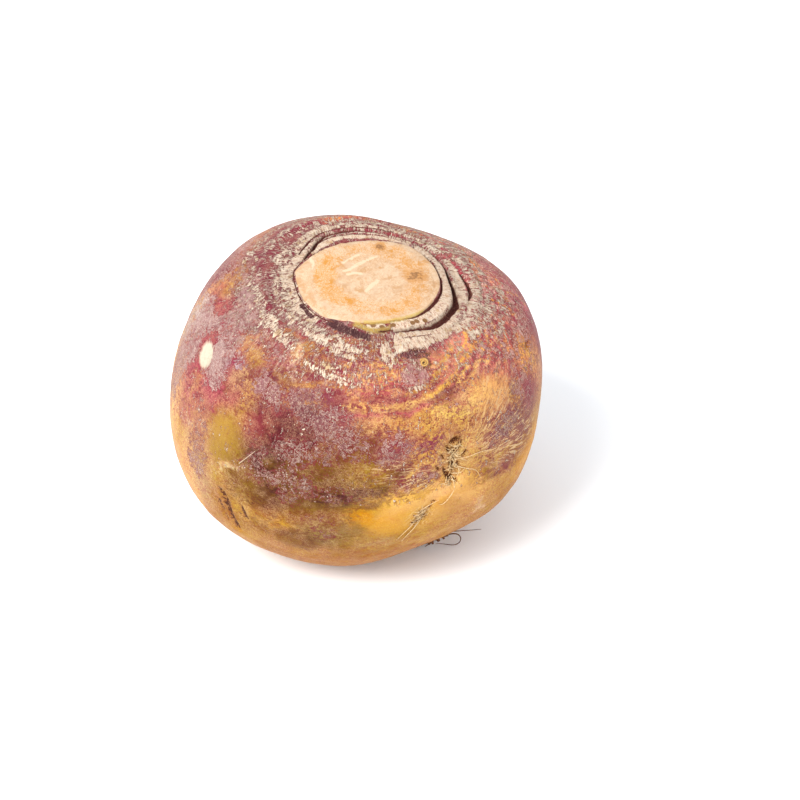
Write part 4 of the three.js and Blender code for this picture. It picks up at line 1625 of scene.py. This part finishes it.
rootlets = dict(
    width=0.5 * mm,
    strands=[  # places in mm, from the stub outwards; the table is at 0
        [(29.6, -22.4, 5.2), (31.4, -20.6, 5.6), (34.6, -18.7, 4.9), (38.6, -16.9, 3.8), (42.7, -16.0, 3.4),
         (46.2, -15.0, 3.0)],
        [(30.0, -22.6, 4.6), (32.4, -20.6, 4.2), (35.4, -18.0, 3.4), (38.2, -16.9, 2.7), (39.4, -18.2, 2.0),
         (38.9, -20.3, 1.5), (37.0, -21.2, 1.1), (34.4, -20.4, 0.9), (32.2, -20.4, 1.2), (30.6, -21.4, 2.2)],
        [(29.8, -23.0, 4.2), (28.4, -21.6, 2.6), (26.6, -20.8, 1.5), (24.4, -21.9, 0.8)],
        [(29.2, -23.2, 4.3), (27.2, -22.8, 2.8), (25.8, -21.4, 1.9)],
        [(30.2, -22.6, 4.8), (31.6, -21.6, 3.6), (32.0, -20.4, 2.6)],
        [(28.6, -22.6, 5.0), (26.9, -22.4, 3.6), (26.0, -23.2, 2.6)],
        [(29.4, -23.0, 4.6), (27.4, -23.0, 3.9), (25.2, -22.6, 3.0)],
    ],
    wedges=[  # thick torn fibres of the stub: width in mm and places
        (3.0, [(30.2, -21.4, 7.6), (30.8, -22.4, 6.0), (31.8, -23.2, 4.4)]),
        (1.8, [(29.2, -22.0, 7.2), (29.4, -23.0, 5.4), (29.8, -24.0, 3.8)]),
        (1.9, [(31.6, -21.0, 7.2), (32.4, -21.8, 5.8), (33.6, -22.4, 4.8)]),
        (0.7, [(30.4, -22.0, 5.4), (28.4, -22.6, 3.9), (26.4, -22.4, 3.0), (24.6, -22.8, 2.4)]),
        (0.9, [(31.0, -21.8, 5.0), (33.2, -20.4, 4.0), (35.0, -19.2, 3.6)]),
        (0.6, [(30.0, -22.4, 4.4), (28.8, -22.6, 3.0), (27.2, -23.0, 2.0)]),
    ],
)
tufts = [  # torn fibres of the root scars: stops down the scar, how many, length and width in mm
    dict(name="darkScarHairs", stops=[(301.5, 76), (300.5, 80), (299.5, 85), (297.5, 90)], count=12,
         length=(0.9, 2.2), width=0.3, spread=2.4, seed=5),
    dict(name="darkScarHairs", stops=[(290, 99), (289, 102), (287, 105)], count=9,
         length=(0.9, 2.4), width=0.3, spread=1.6, seed=6),
    dict(name="paleScarHairs", stops=[(300.5, 78), (300, 82), (299, 86), (297, 91)], count=60,
         length=(1.2, 4.0), width=0.34, spread=4.0, seed=7),
    dict(name="paleScarHairs", stops=[(290, 98), (289, 101), (287, 104)], count=30,
         length=(1.2, 3.4), width=0.34, spread=3.0, seed=8),
]
longHairs = [  # pale hairs that stand clear: (turn, tip, lift in mm) stops
    [(298.6, 88.5, 0.3), (299.4, 91.5, 0.9), (298, 95, 0.8), (295.8, 99.2, 0.3), (294.6, 98.4, 0.3)],
    [(300, 83, 0.5), (304, 83.4, 0.8), (308.5, 83, 0.5), (313, 84.4, 0.3)],
    [(301, 86, 0.5), (304.5, 87.6, 0.9), (307.5, 89.2, 0.6), (309, 93, 0.3)],
    [(288.8, 102, 0.3), (286.6, 104.5, 0.6), (284.4, 106.5, 0.5), (281.6, 111.4, 0.2)],
    [(289.6, 103.5, 0.3), (287.2, 106, 0.6), (285, 109, 0.4), (283.6, 113, 0.2)],
    [(288.4, 98.4, 0.3), (291, 97, 0.7), (294.6, 96.6, 0.3)],
]
leftHair = [(231.6, 86.5, 0.2), (234.3, 83.4, 0.9), (237.2, 79.9, 1.1)]
hairWidth = dict(long=0.4 * mm, left=0.28 * mm)
coilForm = dict(
    turns=1.7,
    startAngle=math.radians(130),
    outer=1.5,  # both in degrees
    inner=0.35,
    squash=0.85,
    lift=(0.25, 0.55),  # mm off the skin, from the outer end to the inner
    width=0.75 * mm,
)


def coilRoute():  # a dried bud, curled up on the skin
    budTurn, budTip = coilBud["oval"][:2]
    route = []
    for share in np.linspace(0, 1, 24):
        angle = coilForm["startAngle"] - share * coilForm["turns"] * 2 * math.pi
        far = mixed(coilForm["outer"], coilForm["inner"], share)
        turn = budTurn + far * math.cos(angle) / math.sin(math.radians(budTip))
        tip = budTip - coilForm["squash"] * far * math.sin(angle)
        route.append(onSkin(turn, tip, mixed(*coilForm["lift"], share)))
    return route


driedColours = dict(  # light and dark
    driedRoot=((160, 108, 74), (80, 46, 32)),
    paleRoot=((255, 234, 196), (216, 166, 100)),
    whiteRoot=((244, 226, 206), (210, 180, 156)),
    goldRoot=((244, 206, 132), (190, 138, 72)),
)
driedFinish = dict(
    grain=(0.5, 4, 0.7, 0.6, 51),  # a noise, as in lumps
    gloss=0.2,
    relief=0.3 * mm,
)


def driedMaterial(name):
    material, shader = newMaterial(name)
    light, dark = (fromSrgb(*colour) for colour in driedColours[name])
    fibre = speckle(placeInMm(), *driedFinish["grain"])
    join(blend(ramp(fibre, 0.35, 0.62), dark, light), shader.inputs["Base Color"])
    join(ramp(fibre, 0.3, 0.7, 0.65, 0.9), shader.inputs["Roughness"])
    shader.inputs["Specular IOR Level"].default_value = driedFinish["gloss"]
    bumped(shader, fibre, 0.6, driedFinish["relief"])
    return material


def strandOf(route, width):  # a rootlet, from places in mm
    return strand([np.array(place) * mm for place in route], width)


def hairOf(route, width, thin=0.35):  # a hair on the skin, from (turn, tip, lift) stops
    return strand([onSkin(*stop) for stop in route], width, thin)


print("stage: growing the stub, rootlets and hairs")
skinDirections = places - stance["belt"]
skinDirections /= np.linalg.norm(skinDirections, axis=1, keepdims=True)
dried = {name: driedMaterial(name) for name in driedColours}
stub = tapRootStub()
strands = [strandOf(route, rootlets["width"]) for route in rootlets["strands"]]
strands += [strandOf(route, wide * mm) for wide, route in rootlets["wedges"]]
looseRootlets = joined("rootlets", strands)
fibres = dict(darkScarHairs=[], paleScarHairs=[])
for tuftStops in tufts:
    fibres[tuftStops["name"]] += tuft(**tuftStops)
fibres["paleScarHairs"] += [hairOf(route, hairWidth["long"]) for route in longHairs]
darkHairs, paleHairs = (joined(name, pieces) for name, pieces in fibres.items())
strayHair = joined("strayHair", [hairOf(leftHair, hairWidth["left"], 0.5)])
coil = joined("coiledBud", [strand(coilRoute(), coilForm["width"], 0.6)])
for piece, material in (
    (stub, "driedRoot"), (looseRootlets, "driedRoot"), (darkHairs, "driedRoot"),
    (paleHairs, "paleRoot"), (strayHair, "whiteRoot"), (coil, "goldRoot"),
):
    piece.data.materials.append(dried[material])

# floor, light and camera

studio = dict(
    floorSize=6,
    paper=(0.95, 0.95, 0.95, 1),
    paperRough=0.9,
    sky=(0.96, 1.0, 1.05, 1),  # a little cool, as the root lends its shadow warmth
    skyStrength=0.95,
    keyPower=25,
    keyPlace=(-0.62, -0.62, 0.9),
    fillPower=3.0,
    fillPlace=(0.9, -0.4, 0.5),
    lampSize=0.7,
    lampAim=(0, 0, 0.05),
    cameraAim=placeAt(0.4663, 0.512, 0.4836),
    elevation=math.radians(36),
    distance=1.0,
    lens=136.5,
    shift=(0.0709, -0.0134),
)


def makeStudio():
    bpy.ops.mesh.primitive_plane_add(size=studio["floorSize"], location=(0, 0, 0))
    floor = bpy.context.object
    floor.name = "studioFloor"
    paper = bpy.data.materials.new("paper")
    paper.use_nodes = True
    shader = paper.node_tree.nodes["Principled BSDF"]
    shader.inputs["Base Color"].default_value = studio["paper"]
    shader.inputs["Roughness"].default_value = studio["paperRough"]
    floor.data.materials.append(paper)

    world = bpy.data.worlds.new("studioWorld")
    world.use_nodes = True
    background = world.node_tree.nodes["Background"]
    background.inputs["Color"].default_value = studio["sky"]
    background.inputs["Strength"].default_value = studio["skyStrength"]
    bpy.context.scene.world = world
    for name, power, spot in (
        ("keyLight", studio["keyPower"], studio["keyPlace"]),
        ("fillLight", studio["fillPower"], studio["fillPlace"]),
    ):
        lamp = linked(name, bpy.data.lights.new(name, "AREA"))
        lamp.data.energy, lamp.data.size = power, studio["lampSize"]
        lamp.location = spot
        aim = Vector(studio["lampAim"]) - lamp.location
        lamp.rotation_euler = aim.to_track_quat("-Z", "Y").to_euler()

    camera = linked("camera", bpy.data.cameras.new("camera"))
    camera.data.lens = studio["lens"]
    camera.data.clip_start = 0.01
    back = Vector((0, -math.cos(studio["elevation"]), math.sin(studio["elevation"])))
    camera.location = Vector(studio["cameraAim"]) + back * studio["distance"]
    camera.rotation_euler = back.to_track_quat("Z", "Y").to_euler()
    camera.data.shift_x, camera.data.shift_y = studio["shift"]
    bpy.context.scene.camera = camera
    bpy.context.scene.view_settings.view_transform = "Standard"


makeStudio()

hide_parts("rutabaga")
for piece in (skin, stub, looseRootlets, darkHairs, paleHairs, strayHair, coil):
    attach(piece, "root")
